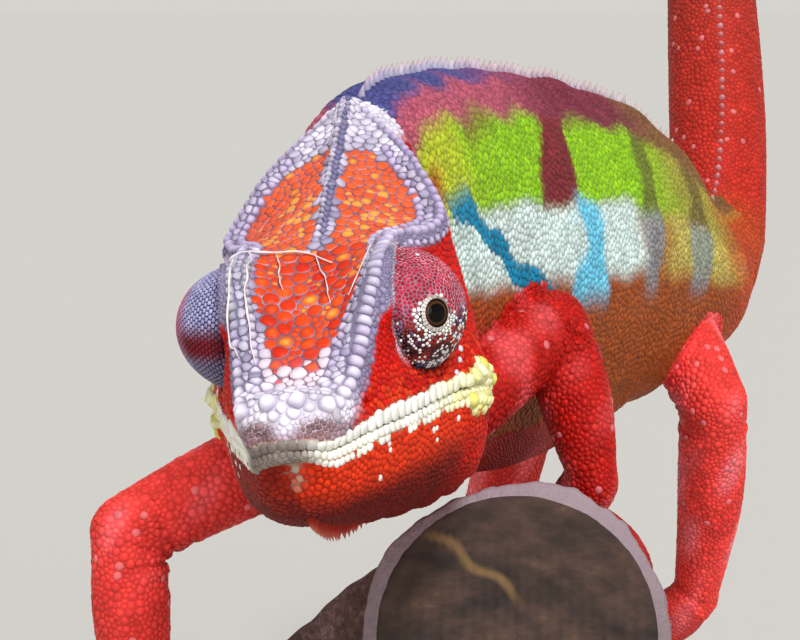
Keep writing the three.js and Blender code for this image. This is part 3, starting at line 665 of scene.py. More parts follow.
def new_piece(name, mesh, material, slot, *replaces):
    """A visible piece on the one body, with its material, in place of the CAD nodes that it covers; its slot
    argument is not used.
    """
    piece = bpy.data.objects.new(name, mesh)
    bpy.context.collection.objects.link(piece)
    mesh.materials.append(material)
    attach(piece, "root")
    if replaces:
        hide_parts(*replaces)


def through_modifiers(points, faces, *modifiers):
    """The triangles that come out of a stack of modifiers, as arrays in millimetres."""
    mesh = new_mesh("form", points, faces)
    form = bpy.data.objects.new("form", mesh)
    bpy.context.collection.objects.link(form)
    for kind, settings in modifiers:
        modifier = form.modifiers.new(kind, kind)
        for key, value in settings.items():
            setattr(modifier, key, value)
    done = form.evaluated_get(bpy.context.evaluated_depsgraph_get()).to_mesh()
    done.calc_loop_triangles()
    out_points = np.empty(len(done.vertices) * 3, np.float32)
    done.vertices.foreach_get("co", out_points)
    out_faces = np.empty(len(done.loop_triangles) * 3, np.int32)
    done.loop_triangles.foreach_get("vertices", out_faces)
    bpy.data.objects.remove(form)
    bpy.data.meshes.remove(mesh)
    return out_points.reshape(-1, 3).astype(float) / MM, out_faces.reshape(-1, 3)


def point_normals(points, faces):
    """The area-weighted mean of the normals of the faces round each point."""
    a, b, c = (points[faces[:, k]] for k in range(3))
    flat = np.cross(b - a, c - a)
    sums = [np.bincount(faces.ravel(), np.repeat(flat[:, k], 3), minlength=len(points)) for k in range(3)]
    return unit(np.stack(sums, 1))


class Surface:
    """A triangle mesh that points can be laid on."""

    def __init__(self, points, faces):
        self.points, self.faces = points, faces
        self.normals = point_normals(points, faces)
        self.tree = bvhtree.BVHTree.FromPolygons(points.tolist(), faces.tolist())

    def drape(self, targets):
        """The nearest place on the surface to each target, with its smoothed normal."""
        found = [self.tree.find_nearest(p) for p in targets.tolist()]
        at = np.array([f[0] for f in found])
        face = self.faces[np.array([f[2] for f in found])]
        a, b, c = (self.points[face[:, k]] for k in range(3))
        flat = np.cross(b - a, c - a)
        area = np.maximum((flat * flat).sum(1), 1e-12)
        u = (np.cross(b - at, c - at) * flat).sum(1) / area
        v = (np.cross(c - at, a - at) * flat).sum(1) / area
        weights = np.stack([u, v, 1 - u - v], 1)
        return at, unit((self.normals[face] * weights[..., None]).sum(1))


# ---------------------------------------- where a point is on the body
BATCH = 20000  # points at a time


def nearest_on(line, p):
    """Index of the nearest station of a line for each point, and the distance to it."""
    best = np.empty(len(p), int)
    thin = line.astype(np.float32)
    for start in range(0, len(p), BATCH):
        q = p[start : start + BATCH].astype(np.float32)
        best[start : start + BATCH] = ((q[:, None] - thin[None]) ** 2).sum(-1).argmin(1)
    return best, norm(p - line[best])


TRUNK_S = np.linspace(0, BODY_LENGTH, 170)
TRUNK_AT, TRUNK_SIDE, TRUNK_UP, TRUNK_HIGH, TRUNK_LOW, _ = body_line(TRUNK_S)
TAIL_S, TAIL_AT, TAIL_SIDE, TAIL_UP = tail_line()
TAIL_THICK = smooth(TAIL_RADIUS, TAIL_S)
HEAD, TRUNK, TAIL, LIMB, FOOT = range(5)
HEAD_LENGTH = 62
NECK_FRONT = -45  # Y of the first place where the neck is more than the head
NAPE, NAPE_LEAN, NAPE_LOW = 42, 0.396, -15.5


def past_face(h):
    """How far back a place of the head is, measured square to the sloping line where head meets neck."""
    return h[:, 0] - NAPE_LEAN * (h[:, 2] - NAPE_LOW)


LIMB_STATIONS = 50
WRIST_RADIUS = 4


def limb_line(leg):
    """Stations along a limb from root to wrist, and its thickness at each."""
    joints = np.array(leg["joints"], float)
    lengths = running(joints)
    lengths /= lengths[-1]
    share = np.linspace(0, 1, LIMB_STATIONS)
    line = smooth(np.column_stack([lengths, joints]), share)
    thick = [r for keys in leg["thickness"] for r in (keys[0][1], keys[1][1])] + [WRIST_RADIUS]
    return line, np.interp(share, lengths, thick)


def around(away, side, up):
    """The angle round a line, 0 at its top."""
    return np.arctan2((away * side).sum(1), (away * up).sum(1))


def locate(p):
    """Each point's part, the length along it, the angle round it, its leg and its place by the head."""
    squeeze = np.array([1, 1, 0.15])
    k, _ = nearest_on(TRUNK_AT * squeeze, p * squeeze)
    part = np.full(len(p), TRUNK)
    length = TRUNK_S[k].copy()
    angle = around(p - TRUNK_AT[k], TRUNK_SIDE[k], TRUNK_UP[k])
    j, gap = nearest_on(TAIL_AT, p)
    on = (k >= len(TRUNK_S) - 2) | ((gap < TAIL_THICK[j] * 1.3) & (TAIL_S[j] > 8))
    part[on], length[on] = TAIL, TAIL_S[j][on]
    angle[on] = around(p - TAIL_AT[j], TAIL_SIDE[j], TAIL_UP[j])[on]
    h = to_head(p)
    on = (past_face(h) < NAPE) & (h[:, 0] < HEAD_LENGTH) & (p[:, 1] < NECK_FRONT)
    part[on], length[on] = HEAD, h[on, 0]
    angle[on] = np.arctan2(h[on, 1], h[on, 2] - 4)
    free = part != HEAD
    leg_of = np.full(len(p), -1)
    for number, leg in enumerate(LEGS.values()):
        line, thick = limb_line(leg)
        i, gap = nearest_on(line, p)
        _, side, up = frames_along(line, first_side=LOG_SIDE)
        turn = around(p - line[i], side[i], up[i])
        near = (gap < thick[i] * 1.12 + 0.3) & free
        spot, wood = grip_spot(leg["grip"])
        wrist, palm = line[-1], spot(0.0, wood + 3.0, 0.0)
        foot = (norm(p - palm) < 30) & ((p - wrist) @ unit(palm - wrist) > -0.5)
        foot &= ~near & (part != TAIL) & (p[:, 2] < wrist[2] + 5) & free
        share = i[near] / (LIMB_STATIONS - 1)
        part[near], length[near], angle[near], leg_of[near] = LIMB, share, turn[near], number
        part[foot], length[foot], angle[foot], leg_of[foot] = FOOT, 1.2, turn[foot], number
    return part, length, angle, leg_of, h


# ---------------------------------------- zones of the head
MOUTH_X = [r[0] for r in SKULL]
MOUTH_Z = [r[2] for r in SKULL]


def mouth_height(h):
    """How far a point of the head is above its mouth line."""
    return h[:, 2] - np.interp(h[:, 0], MOUTH_X, MOUTH_Z)


def lip_reach(x):
    """How tall the lips are at X, as a share of their height at the side."""
    return np.interp(x, [0, 5, 10], [0.66, 0.7, 1.0])


def turret_gap(h):
    """Distance outside the nearer turret, and more than that on the crown between the ridges."""
    gaps = []
    for side in SIGN:
        middle, axes = turret_frame(side)
        far = norm(h - middle)
        away = np.degrees(np.arccos(np.clip((h - middle) @ axes[2] / np.maximum(far, 1e-6), -1, 1)))
        gaps.append(far - turret_radius(away))
    edge = ridge_edge(h[:, 0])
    on_crown = (np.abs(h[:, 1]) < edge[:, 0] - 0.3) & (h[:, 2] > edge[:, 1] - 2.5)
    return np.min(gaps, axis=0) + 9 * on_crown


#  half width by X of the forehead's field of plates and, behind it, of the casque's two panels
FIELD_FRONT, PANEL_FRONT, PANEL_BACK = 6.6, 28.8, 51
FIELD_KEYS = [FIELD_FRONT, 8.2, 11.8, 14, 17, 20, 25, PANEL_FRONT]
FIELD_WIDTH = [0, 2.2, 3.2, 4.2, 5.2, 6.1, 6.7, 6.2]
PANEL_KEYS = [PANEL_FRONT, 33, 38, 43, 46, 48, 49.5, PANEL_BACK]
PANEL_WIDTH = [6.2, 8.6, 10.8, 11.2, 9.2, 7.4, 5.0, 1.4]


def corner_share(h):
    """Share of the swollen pale skin round each corner of the mouth: 1 in an oval, 0 outside."""
    oval = np.hypot((h[:, 0] - 35.6) / 5.2, (h[:, 2] - 1.0) / 3.5)
    return step(0.97, 0.92, oval) * (np.abs(h[:, 1]) > 12)


def crown_zones(h):
    """Shares of the crown between the ridges, the forehead's field of plates, and the casque's two panels."""
    x, side = h[:, 0], np.abs(h[:, 1])
    edge = ridge_edge(x)
    crown = (side < edge[:, 0] - 0.6) & (h[:, 2] > edge[:, 1] - 4.5) & (x > 3.5)
    field_width, panel_width = np.interp(x, FIELD_KEYS, FIELD_WIDTH), np.interp(x, PANEL_KEYS, PANEL_WIDTH)
    inside = np.where(x < PANEL_FRONT, field_width, panel_width) - side
    field = crown & (x > FIELD_FRONT) & (x < PANEL_FRONT) & (inside > 0)
    panel = crown & (x >= PANEL_FRONT) & (x < PANEL_BACK) & (inside > 0) & (side > 1.3)
    return crown, field, panel


# ---------------------------------------- markings
def hexes(text):
    """Several hex colours as linear light."""
    return [linear(c) for c in text.split()]


RED, CRIMSON, DARK_RED, FIRE, ORANGE = hexes("c81208 a3122a 540a05 da220a ea4c14")
LILAC, LILAC_GREY, LILAC_WHITE, SLATE = hexes("a896c0 8f86a6 e6deef 626690")
# the brown of the nostril patches is their own colour and painted shade under the snout knob
WHITE, CREAM, YELLOW, NOSTRIL_AND_SHADE_BROWN = hexes("f8f6f0 f8f5d2 eee860 8a6668")
GREEN, LIME, OLIVE, STRAW = hexes("8cc01c bcc42e a0963e bcae58")
SKY, TEAL, ICE, STEEL_BLUE = hexes("6cc6e4 0a80a8 cfe2de 80929c")
MAROON, ROSE, PLUM, BLUE_LILAC = hexes("7c2a30 b5566c 7a2f42 4a4c88")
RUST, BROWN, BELLY, UMBER = hexes("9a4a1c 7f5a36 a3301a 5d4a2c")


def trunk_colour(p, s, wobble):
    """Bands across the flank by running length and height v: 1 on the back, 0 midway, -1 on the belly."""
    rise = p[:, 2] - np.interp(s, TRUNK_S, TRUNK_AT[:, 2])
    v = rise / np.where(rise > 0, np.interp(s, TRUNK_S, TRUNK_HIGH), np.interp(s, TRUNK_S, TRUNK_LOW))
    v, s = v + 0.03 * wobble, s + 2.5 * wobble
    green = mix(mix(GREEN, OLIVE, step(110, 134, s)), LIME, bump(s, 24, 13) * 0.9)
    colour = mix(RUST, green, step(0.25, 0.4, v))
    colour = mix(colour, ICE, step(-0.08, 0.04, v) * step(0.4, 0.31, v) * step(22, 30, s) * step(112, 98, s))
    colour = mix(colour, STRAW, step(108, 126, s) * step(-0.1, 0.1, v) * step(0.42, 0.3, v))
    teal_line = np.abs(s - 31 - (0.39 - v) * 68)
    colour = mix(colour, TEAL, step(5.8, 3.6, teal_line) * step(0.5, 0.36, v) * step(-0.22, -0.05, v))
    bar = step(7.5, 4.8, np.abs(s - 71.0 - 9 * np.clip((v - 0.3) / 0.5, -0.6, 1.2)))
    colour = mix(colour, MAROON, bar * step(0.3, 0.38, v))
    colour = mix(colour, SKY, step(6.5, 4.0, np.abs(s - 82)) * step(0.42, 0.32, v) * step(-0.5, -0.2, v))
    for middle in (111, 134):
        tint = mix(STEEL_BLUE, UMBER, step(0.3, 0.4, v))
        share = step(5.5, 3.0, np.abs(s - middle - 8 * (v - 0.3))) * step(-0.3, 0.0, v)
        colour = mix(colour, tint, 0.7 * share)
    colour = mix(colour, MAROON, 0.5 * step(6, 3.5, np.abs(s - 44 - 10 * (v - 0.5))) * step(0.62, 0.75, v))
    back = mix(mix(ROSE, PLUM, step(50, 92, s)), BROWN, step(105, 130, s))
    colour = mix(colour, back, step(0.72, 0.83, v))
    colour = mix(colour, mix(BLUE_LILAC, back, step(50, 85, s)), step(0.9, 0.975, v))
    colour = mix(colour, mix(BELLY, RUST, step(30, 70, s)), step(-0.05, -0.25, v))
    colour = mix(colour, mix(RED, CRIMSON, step(0.3, 0.8, v)), step(27, 18, s) * step(0.72, 0.55, v))
    colour = mix(colour, RED, step(30, 20, s) * step(0.1, -0.1, v))
    return mix(colour, "b8441d", step(140, 160, s) * step(0.9, 0.6, v))


def tail_colour(s, wobble):
    """Red with brown-olive rings that start past its middle."""
    colour = mix("c02a1e", "a83226", step(0, 90, s))
    turn = np.sin((s + 4 * wobble) * TAU / 26)
    colour = mix(colour, "7b2a1c", 0.7 * step(0.25, 0.8, turn) * step(45, 75, s))
    colour = mix(colour, "9aa04a", 0.6 * step(0.3, 0.9, -turn) * step(70, 120, s))
    return mix(colour, "b8441d", step(14, 2, s))


# how much brighter each limb is made: partly its own tone, partly painted light on the limbs that face the
# light
LIMB_LIGHT_AND_TONE = np.array([0.9, 0.1, 1.0, 0.6])


def limb_colour(length, wobble, leg_of):
    """Red, with rosy patches that are partly painted highlights; brighter on the right arm and the left hind
    leg, partly as painted light; darker on the feet.
    """
    light_and_tone = LIMB_LIGHT_AND_TONE[leg_of]
    colour = mix("b5140c", "fa4640", light_and_tone + 0.3 * wobble)
    colour = mix(colour, "fa808a", (0.2 + 0.4 * light_and_tone) * step(-0.1, 0.9, wobble))
    return mix(colour, "7e1a14", 0.5 * step(1.02, 1.2, length))


def head_colour(h, wobble):
    """Red face, lilac ridges and casque edges, two red panels on the casque and one on the forehead."""
    x, y, z = h.T
    above = mouth_height(h)
    cheek = mix(RED, FIRE, step(9, 3, z) * (0.5 + 0.5 * wobble))
    # painted shade: the throat and lower jaw are darker towards the underside, and the jaw's front is darker
    # on the animal's right
    colour = mix("8c150e", cheek, step(-13, -7, z))
    jaw = mix("dc340e", "6a0b04", step(-4.0, -8.6, above))
    jaw = mix(jaw, "6e1008", 0.75 * step(0.6, -1.2, y) * step(24, 14, x))
    colour = mix(colour, jaw, step(0.1, -0.1, above) * step(40, 26, x))
    chin = bump(y, 0.2, 0.4) * step(-0.2, -0.8, above) * step(-4.6, -3.6, above) * step(5, 3, x)
    colour = mix(colour, "b9a890", chin)
    edge = ridge_edge(x)
    inside, top = edge[:, 0] - np.abs(y), z - edge[:, 1]
    crown, field, panel = crown_zones(h)
    below = np.where(inside < 0.6, 1.75, 1) * np.minimum(top + 0.2, 0)
    ridge = step(3.0, 2.0, np.hypot(np.maximum(inside - 0.4, 0), below + np.maximum(top + 0.2, 0)))
    colour = mix(colour, LILAC_GREY, np.maximum(ridge * step(1, 3, x), crown))
    colour = mix(colour, "b497a8", step(7, 5, x) * step(1.0, 1.5, above))
    colour = mix(colour, LILAC_WHITE, step(9, 4.5, x) * step(3.9, 5.0, z))
    colour = mix(colour, "a06474", 0.8 * (field | panel))
    gap = turret_gap(h)
    front = EYE_PLACE[0] + 1 - x
    strap = step(2.3, 1.8, gap) * step(1.0, 4.5, z - EYE_PLACE[2]) * step(-3, 0, front)
    colour = mix(colour, LILAC_GREY, strap)
    fold_line = step(0.7, 0.4, np.abs(np.hypot(x - EYE_PLACE[0], z - EYE_PLACE[2]) - STRAPS[0][0]))
    fold_line = fold_line * step(-2, 1, front) * step(-6, -3, z - EYE_PLACE[2]) * (gap > 0.2)
    colour = mix(colour, "c8b6c6", 0.75 * fold_line)
    shadow = bump(gap, 0.4, 0.3) * step(EYE_PLACE[2] + 6, EYE_PLACE[2] - 2, z)
    colour = mix(colour, DARK_RED * 0.5, 0.8 * shadow)
    ball_colour = mix("a8748a", "1e1210", step(1.0, -1.4, z - EYE_PLACE[2]))
    ball_colour = mix(ball_colour, "3a3c60", step(0, -1, y))
    colour = mix(colour, ball_colour, step(0.2, 0.05, gap))
    lip_above = above / lip_reach(x)
    lip = step(MOUTH_CORNER + 2.5, MOUTH_CORNER + 1, x)
    lip = lip * step(2.0, 1.5, lip_above) * step(-1.6, -1.3, lip_above)
    colour = mix(colour, mix(CREAM, YELLOW, 0.6 * step(24, 34, x)) * 0.9, lip)
    lump = wave_noise(h, 2.2, 9)
    colour = mix(colour, mix(CREAM, YELLOW, 0.5 + 0.5 * lump), corner_share(h))
    colour = mix(colour, "4a3020", bump(above, 0, 0.2) * step(MOUTH_CORNER + 1, MOUTH_CORNER, x))
    return mix(colour, LILAC_WHITE, step(53, 58, x) * step(29, 31, z))


def skin_colour(p):
    """The colour at each place, and where on the body it is."""
    part, length, angle, leg_of, h = locate(p)
    wobble = wave_noise(p, 9)
    colour = np.zeros((len(p), 3))
    for number in range(5):
        m = part == number
        if number == HEAD:
            colour[m] = head_colour(h[m], wobble[m])
        elif number == TRUNK:
            colour[m] = trunk_colour(p[m], length[m], wobble[m])
        elif number == TAIL:
            colour[m] = tail_colour(length[m], wobble[m])
        else:
            colour[m] = limb_colour(length[m], wobble[m], leg_of[m])
    return colour, part, length, angle, leg_of, h


# ---------------------------------------- folds of the skin
#  hollows on each side of the snout: middle, half sizes, depth, width of the bell
NOSTRIL_PITS = (
    ((1.0, 3.1, 4.6), (1.5, 1.5, 0.75), 0.9, 1),
    ((9.2, 8.2, 5.4), (1.0, 2.0, 0.6), 1.0, 0.8),
)
FOLD_PITCH, THROAT_PITCH, CREASE_PITCH = 1.15, 2.6, 4.2


def fold(points, faces):
    """Points moved along their normals by sines and bells: rings round the eyes, mouth, nostrils, creases."""
    normals = point_normals(points, faces)
    part, length, _, leg_of, h = locate(points)
    x, y, z = h.T
    head, trunk = part == HEAD, part == TRUNK
    gap, above = turret_gap(h), mouth_height(h)
    edge = ridge_edge(x)
    free = step(0.2, 1.6, np.hypot(np.maximum(edge[:, 0] - np.abs(y), 0), edge[:, 1] - z) - 2.2)
    rings = 0.28 * np.cos((gap - 0.6) * TAU / FOLD_PITCH) * np.exp(-np.maximum(gap, 0) / 2.4)
    move = np.where(head & (gap > 0.3) & (gap < 5), rings * free, 0)
    move -= np.where(head, 0.8 * bump(gap, 0.42, 0.2), 0)
    hollow = step(3.4, 1.0, gap) * step(0.15, 0.5, gap) * step(4, 9, z)
    hollow = hollow * step(EYE_PLACE[0] + 2, EYE_PLACE[0] - 3, x)
    move -= np.where(head, 0.9 * hollow * free, 0)
    on_mouth = head & (x < MOUTH_CORNER + 1)
    move -= np.where(on_mouth, 0.28 * bump(above, 0, 0.35), 0)
    move += np.where(on_mouth, 0.2 * bump(above, 1.3, 1.0), 0)
    corner = norm(np.stack([x - 36, np.abs(y) - 16.8, z - 0.9], 1) / [1.9, 1, 1.05])
    move += np.where(head, 1.7 * bump(corner, 0, 3.5) * (1 - 0.6 * bump(above, 0, 0.5)), 0)
    for place, radii, depth, width in NOSTRIL_PITS:
        pit = norm((np.stack([x, np.abs(y), z], 1) - place) / radii)
        move -= np.where(head, depth * bump(pit, 0, width), 0)
    throat = 0.22 * np.sin(y * TAU / THROAT_PITCH) * step(-9, -12, z)
    move += np.where(head & (z < -9) & (x > 14), throat, 0)
    crease = 0.28 * np.sin((length + 1.2 * np.sin(points[:, 2] * 0.25)) * TAU / CREASE_PITCH)
    move += np.where(trunk, crease * step(30, 12, length), 0)
    move += np.where(trunk, 0.3 * wave_noise(points, 11, 1) * step(20, 45, length), 0)
    for number, leg in enumerate(LEGS.values()):
        root, _, elbow, _, wrist = (np.array(j, float) for j in leg["joints"])
        inner = step(1.2, -3.6, (points - elbow) @ unit(elbow - (root + wrist) / 2))
        near = bump(norm(points - elbow), 4, 5) * inner
        low = bump(norm(points - wrist), 3, 4)
        wrinkles = 0.4 * near * np.sin(length * TAU * 18) + 0.22 * low * np.sin(length * TAU * 24)
        move += np.where(leg_of == number, wrinkles, 0)
    for side in SIGN:
        middle, axes = turret_frame(side)
        across = (h - middle) @ axes.T
        away = np.hypot(across[:, 0], across[:, 1])
        move -= np.where(head & (across[:, 2] > 5), 1.2 * step(1.9, 1.5, away), 0)
    return points + normals * move[:, None]


def relax(points, faces, where, rounds):
    """Moves the chosen points towards the middle of their neighbours."""
    a, b = faces.T.ravel(), np.roll(faces, -1, axis=1).T.ravel()
    count = np.maximum(np.bincount(a, minlength=len(points)), 1)[:, None]
    for _ in range(rounds):
        mean = np.stack([np.bincount(a, points[b, k], minlength=len(points)) for k in range(3)], 1) / count
        points = points + (mean - points) * where[:, None] * 0.6
    return points


SKIN_TRIANGLES = 190000
VOXEL, QUICK_VOXEL = 0.48, 0.6
RELAX_ROUNDS = 24


def make_skin():
    """The tubes fused into one surface, softened where limbs and neck join, then folded."""
    (points, faces), claws = first_skin()
    voxel = VOXEL
    fuse = ("REMESH", {"mode": "VOXEL", "voxel_size": voxel * MM})
    points, faces = through_modifiers(points, faces, fuse, ("SMOOTH", {"factor": 0.5, "iterations": 2}))
    nape = past_face(to_head(points)) - NAPE
    where = step(3.5, 1.5, np.abs(nape)) * (points[:, 1] < NECK_FRONT)
    for name, leg in LEGS.items():
        root, _, elbow, _, wrist = leg["joints"]
        reach = 15 if name.startswith("leg") else 12
        for joint, size, share in ((root, reach, 1), (elbow, 8, 0.6), (wrist, 6, 0.6)):
            away = norm(points - joint)
            where = np.maximum(where, share * step(size, size / 2, away))
    points = fold(relax(points, faces, where, RELAX_ROUNDS), faces)
    ratio = min(1.0, SKIN_TRIANGLES / len(faces))
    return through_modifiers(points, faces, ("DECIMATE", {"ratio": ratio})), claws


# ---------------------------------------- scales
#  share of the rim's radius, rise, share of the rim's colour, share of the heart's colour
PROFILES = {
    "tile": ((1.0, -0.4, 1, 0), (0.88, 0.55, 0.1, 0), (0.0, 1.0, 0, 0.6)),
    "plate": ((1.0, -0.6, 1, 0), (0.965, 0.3, 0.8, 0), (0.88, 0.85, 0, 0.1), (0.0, 1.0, 0, 1)),
    "netted": ((1.0, -0.3, 1, 0), (0.95, 0.35, 1, 0), (0.82, 0.8, 0, 0), (0.0, 1.0, 0, 0.6)),
    "knob": ((1.0, -0.3, 1, 0), (0.9, 0.3, 0.5, 0), (0.58, 0.85, 0, 0.3), (0.0, 1.0, 0, 1)),
    "spine": ((1.0, -0.25, 1, 0), (0.62, 0.3, 0.3, 0), (0.3, 0.66, 0, 0.3), (0.0, 1.0, 0, 1)),
}
FIELDS = ("at", "normal", "along", "size", "long", "short", "height", "fill", "rim", "crown", "heart")
REACH = 0.78  # a loose scale's longest half length, as a share of its size


class Coat:
    """All scales: place, directions, size, half length and width, height, fill and three colours of each."""

    def __init__(self):
        self.sets = []

    def add(self, kind, at, normal, size, height, rim, crown,
            heart=None, along=None, long=None, short=None, fill=0.94):
        """A set of scales of one kind; a number or colour given once is that of every scale in it."""
        n = len(at)
        if along is None:
            along = np.cross(normal, np.where(np.abs(normal[:, 2:]) < 0.9, UP, [1.0, 0, 0]))
        along = along - (spread(along, n, 3) * normal).sum(1, keepdims=True) * normal
        reach = REACH * spread(size, n)
        values = (
            at,
            normal,
            unit(along),
            spread(size, n),
            reach if long is None else spread(long, n),
            reach if short is None else spread(short, n),
            spread(height, n),
            spread(fill, n),
            spread(rim, n, 3),
            spread(crown, n, 3),
            spread(crown if heart is None else heart, n, 3),
        )
        self.sets.append(dict(zip(FIELDS, values), kind=np.broadcast_to(kind, (n,))))

    def all(self):
        """Every set of scales as one table of arrays."""
        return {key: np.concatenate([s[key] for s in self.sets]) for key in self.sets[0]}


def neighbours(points, count):
    """The indices of the nearest other points of each."""
    tree = kdtree.KDTree(len(points))
    for i, p in enumerate(points.tolist()):
        tree.insert(p, i)
    tree.balance()
    return np.array([[found[1] for found in tree.find_n(p, count + 1)] for p in points.tolist()])[:, 1:]


CELL = 0.83  # the skin that a scale takes up, as a share of its size squared
APART = 0.53  # two scales nearer than this share of their sizes' sum push each other off
PUSH = 0.8  # by this share of what is missing


def scatter(surface, size_of, keep, fixed_at, fixed_size, rounds):
    """Points over the surface, each with a size of its own, pushed off each other and off fixed ones."""
    a, b, c = (surface.points[surface.faces[:, k]] for k in range(3))
    middle = (a + b + c) / 3
    small, large, share = size_of(middle)
    area = norm(np.cross(b - a, c - a)) / 2
    cell = CELL * (large**2 * share + small**2 * (1 - share))
    total = np.cumsum(np.where(keep(middle), area / cell, 0))
    count = int(total[-1])
    ticks = np.arange(count) + rng.uniform(size=count)
    face = np.clip(np.searchsorted(total, ticks), 0, len(area) - 1)
    u, v = rng.uniform(size=(2, count, 1))
    u, v = np.where(u + v > 1, 1 - u, u), np.where(u + v > 1, 1 - v, v)
    points = a[face] + (b[face] - a[face]) * u + (c[face] - a[face]) * v
    normal = surface.normals[surface.faces[face, 0]]
    size = np.where(rng.uniform(size=count) < share[face], large[face], small[face])
    size = size * rng.uniform(0.93, 1.07, count)
    sizes = np.concatenate([size, fixed_size])
    for _ in range(rounds):
        every = np.concatenate([points, fixed_at])
        near = neighbours(every, 7)[:count]
        away = points[:, None] - every[near]
        gap = np.linalg.norm(away, axis=-1, keepdims=True)
        want = (size[:, None] + sizes[near])[..., None] * APART
        weight = (sizes[near] / (size[:, None] + sizes[near]))[..., None]
        push = (away / np.maximum(gap, 1e-3) * np.maximum(want - gap, 0) * weight).sum(1) * PUSH
        points, normal = surface.drape(points + push)
    kept = keep(points)
    return points[kept], normal[kept], size[kept]


def scale_mesh(rows, index, near, ways, profile, chart):
    """Domes: a rim halfway to the neighbours, within a rounded box of its own size, and rings up to a top."""
    row = {key: value[index] for key, value in rows.items()}
    n = len(index)
    second = np.cross(row["normal"], row["along"])
    away = rows["at"][near] - row["at"][:, None]
    x = (away * row["along"][:, None]).sum(-1)
    y = (away * second[:, None]).sum(-1)
    flat = np.hypot(x, y) + 1e-6
    border = flat * row["size"][:, None] / (row["size"][:, None] + rows["size"][near])
    turn = TAU * (np.arange(ways) + 0.5) / ways
    cos, sin = np.cos(turn), np.sin(turn)
    lean = np.maximum((x[..., None] * cos + y[..., None] * sin) / flat[..., None], 0)
    box = (np.abs(cos) / row["long"][:, None]) ** 4 + (np.abs(sin) / row["short"][:, None]) ** 4
    reach = (((lean / border[..., None]) ** 12).sum(1) + box**3) ** (-1 / 12)
    reach = np.maximum(reach, 0.2 * row["size"][:, None]) * row["fill"][:, None]
    points, tints, spots = [], [], []
    way = row["along"][:, None] * cos[:, None] + second[:, None] * sin[:, None]
    for radius, rise, rim, heart in PROFILES[profile]:
        count = ways if radius else 1
        lift = row["at"] + (row["normal"] * rise + row["lean"] * max(rise, 0) ** 2) * row["height"][:, None]
        tint = mix(mix(row["crown"], row["heart"], np.full(n, heart)), row["rim"], np.full(n, rim))
        points.append(lift[:, None] + way[:, :count] * (reach * radius)[:, :count, None])
        tints.append(np.repeat(tint[:, None], count, axis=1))
        spots.append(chart[index][:, None] + np.stack([cos, sin], -1)[None, :count] * PATCH / 2 * radius)
    points, tints, spots = (np.concatenate(v, 1) for v in (points, tints, spots))
    j = np.arange(ways)
    k = (j + 1) % ways
    faces = []
    last = (len(PROFILES[profile]) - 2) * ways
    for a in range(0, last, ways):
        b = a + ways
        faces += [np.stack([a + j, a + k, b + j], 1), np.stack([a + k, b + k, b + j], 1)]
    faces.append(np.stack([last + j, last + k, np.full(ways, last + ways)], 1))
    every = np.concatenate(faces)[None] + (np.arange(n) * points.shape[1])[:, None, None]
    return points.reshape(-1, 3), every.reshape(-1, 3), tints.reshape(-1, 3), spots.reshape(-1, 2)


PATCH = 0.003  # a scale's square in the chart
LIMB_SHIFT = 0.24  # from one limb's rectangle to the next
#  the chart that each part's scales are unwrapped to: left, low, width, height, length of the part
CHART = {
    HEAD: (0.02, 0.02, 0.30, 0.46, HEAD_LENGTH),
    TRUNK: (0.34, 0.02, 0.40, 0.46, BODY_LENGTH),
    TAIL: (0.02, 0.52, 0.96, 0.18, TAIL_LENGTH),
    LIMB: (0.02, 0.74, 0.22, 0.22, 1.0),
    FOOT: (0.78, 0.02, 0.20, 0.46, 1.0),
}


def unwrap(p, part, length, angle, leg_of):
    """A place in the unit square for each point: length by angle in its part's own rectangle."""
    spots = np.zeros((len(p), 2))
    for number, (u, v, width, height, span) in CHART.items():
        m = part == number
        share, turn = np.clip(length[m] / span, 0, 1), angle[m] / TAU % 1
        if number == LIMB:
            u = u + leg_of[m] * LIMB_SHIFT
        if number == FOOT:
            share, turn = p[m] @ [0.037, 0, 0] % 1, (leg_of[m] + p[m] @ [0, 0.037, 0] % 1) / 4
        spots[m] = np.stack([u + share * width, v + turn * height], 1)
    return spots


# ---------------------------------------- materials
def add(tree, kind, links=(), **settings):
    """A node with its settings, input values (in_NAME) and incoming links as (input, from node, output)."""
    node = tree.nodes.new(kind)
    for key, value in settings.items():
        if key.startswith("in_"):
            name = key[3:].replace("_", " ")
            node.inputs[int(name) if name.isdigit() else name].default_value = value
        else:
            setattr(node, key, value)
    for target, source, output in links:
        tree.links.new(source.outputs[output], node.inputs[target])
    return node


def new_material(name, **sockets):
    """A material, its node tree and its shader with the given sockets set."""
    material = bpy.data.materials.new(name)
    material.use_nodes = True
    shader = material.node_tree.nodes["Principled BSDF"]
    for key, value in sockets.items():
        shader.inputs[key.replace("_", " ")].default_value = value
    return material, material.node_tree, shader


def rgba(hex_code):
    """A hex colour as a socket takes it."""
    return (*linear(hex_code), 1)


NOISE_GRAIN = 0.45  # a noise's scale times the size of its grains
MOTTLE = 1.1


